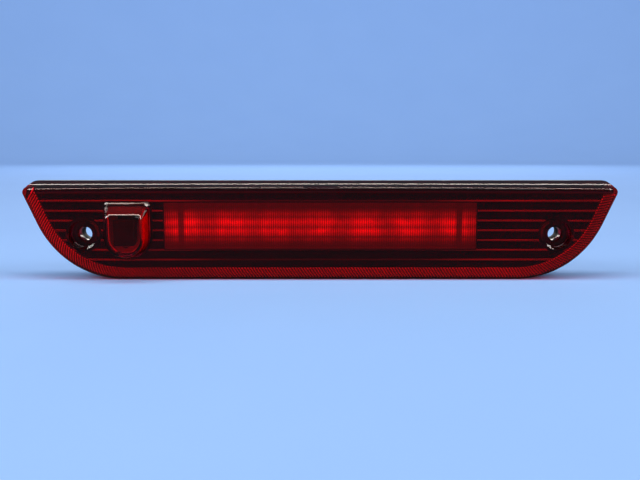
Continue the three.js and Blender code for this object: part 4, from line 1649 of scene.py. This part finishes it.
@dataclass
class Studio:
    """Pale round floor that curves up into its backdrop, soft lights and the camera."""

    floor_colours: tuple[Colour, Colour] = ((0.150, 0.255, 0.47), (0.140, 0.242, 0.455))
    world_colour: Colour = (0.30, 0.36, 0.46)
    world_strength: float = 0.25
    floor_z: float = -0.0247
    radius: float = 1.5
    bend: float = 0.8
    height: float = 1.6
    aim: Colour = (0.0, -0.020, -0.0027)
    distance: float = 0.43
    elevation: float = 8.0
    lens_length: float = 45.0
    lights: tuple = (
        SoftLight("overhead", (0.0, -0.12, 1.1), (0, -0.02, 0), (1.9, 0.32), 23.0,
                  (1.0, 0.94, 0.84)),
        SoftLight("left_box", (-0.95, -0.55, 0.75), (0, 0, 0), (0.7, 0.5), 15.0,
                  (1.0, 0.97, 0.93)),
        SoftLight("right_box", (0.95, -0.5, 0.8), (0, 0, 0), (0.6, 0.5), 12.0, (1.0, 0.96, 0.9)),
        SoftLight("front_fill", (0.1, -1.2, 0.9), (0, 0, 0), (0.9, 0.6), 3.0, (0.9, 0.95, 1.0)),
        SoftLight("rear_low", (0.0, 1.3, 0.3), (0, 0, 0), (1.4, 0.26), 4.0, (1.0, 0.96, 0.9)),
        SoftLight("backdrop_wash", (0.0, 0.9, 1.3), (0, 2.3, 0.3), (2.2, 0.4), 36.0,
                  (1.0, 1.0, 1.0)),
    )

    def build(self) -> None:
        """Builds floor, world, lights and camera."""
        self.floor()
        self.world()
        for light in self.lights:
            light.build()
        self.camera()
        bpy.context.scene.view_settings.view_transform = "Standard"

    def floor(self) -> None:
        """Makes the floor with its backdrop, which shows no reflection of itself in the lamp."""
        bowl = Solid()
        profile = [(0.0, 0.0), (self.radius * 0.4, 0.0)]
        bend = arc(self.radius, self.bend, self.bend, -90, 0, 16)
        profile += bend + [(self.radius + self.bend, self.height)]
        places = [Vector((radius, 0, self.floor_z + rise)) for radius, rise in profile]
        bowl.turn_upright(places, Vector((0, 0, 0)), 72)
        bmesh.ops.remove_doubles(bowl.bm, verts=bowl.bm.verts, dist=1e-6)
        bmesh.ops.recalc_face_normals(bowl.bm, faces=bowl.bm.faces)
        bmesh.ops.reverse_faces(bowl.bm, faces=bowl.bm.faces)
        paint = Paint("floor_paper")
        tones = paint.node("ShaderNodeTexNoise", {"Vector": paint.spots, "Scale": 9.0,
                                                  "Detail": 6.0})
        mixed = paint.blend(tones.outputs[0], *map(rgba, self.floor_colours))
        paint.set(Base_Color=mixed, Roughness=0.9, Specular_IOR_Level=0.1)
        floor = bowl.object("floor", [paint.material])
        floor.visible_glossy = False

    def world(self) -> None:
        """Sets the soft light from all round."""
        world = bpy.data.worlds.new("soft_room")
        world.use_nodes = True
        sky = world.node_tree.nodes["Background"]
        sky.inputs["Color"].default_value = rgba(self.world_colour)
        sky.inputs["Strength"].default_value = self.world_strength
        bpy.context.scene.world = world

    def camera(self) -> None:
        """Adds the camera a little above the lamp, square to its face."""
        data = bpy.data.cameras.new("camera")
        data.lens = self.lens_length
        data.clip_start = 0.01
        camera = bpy.data.objects.new("camera", data)
        rise = math.radians(self.elevation)
        back = Vector((0, -math.cos(rise), math.sin(rise)))
        camera.location = Vector(self.aim) + self.distance * back
        camera.rotation_euler = (-back).to_track_quat("-Z", "Y").to_euler()
        bpy.context.scene.collection.objects.link(camera)
        bpy.context.scene.camera = camera


def main() -> None:
    """Builds the studio and every piece in order."""
    logging.basicConfig(level=logging.INFO, format="%(name)s: %(message)s")
    Studio().build()
    finishes = Finishes()
    for assembly in (LensShell(), BorderFlutes(), WeldBead(), BezelTrim(), WindowOptic(),
                     ReflectorTray(), LedRow(), *REFINED, JetHead("jet_body", "jet_plastic", 0.3),
                     HoodLiner(), JetBall()):
        assembly.build(finishes)


if __name__ == "__main__":
    main()
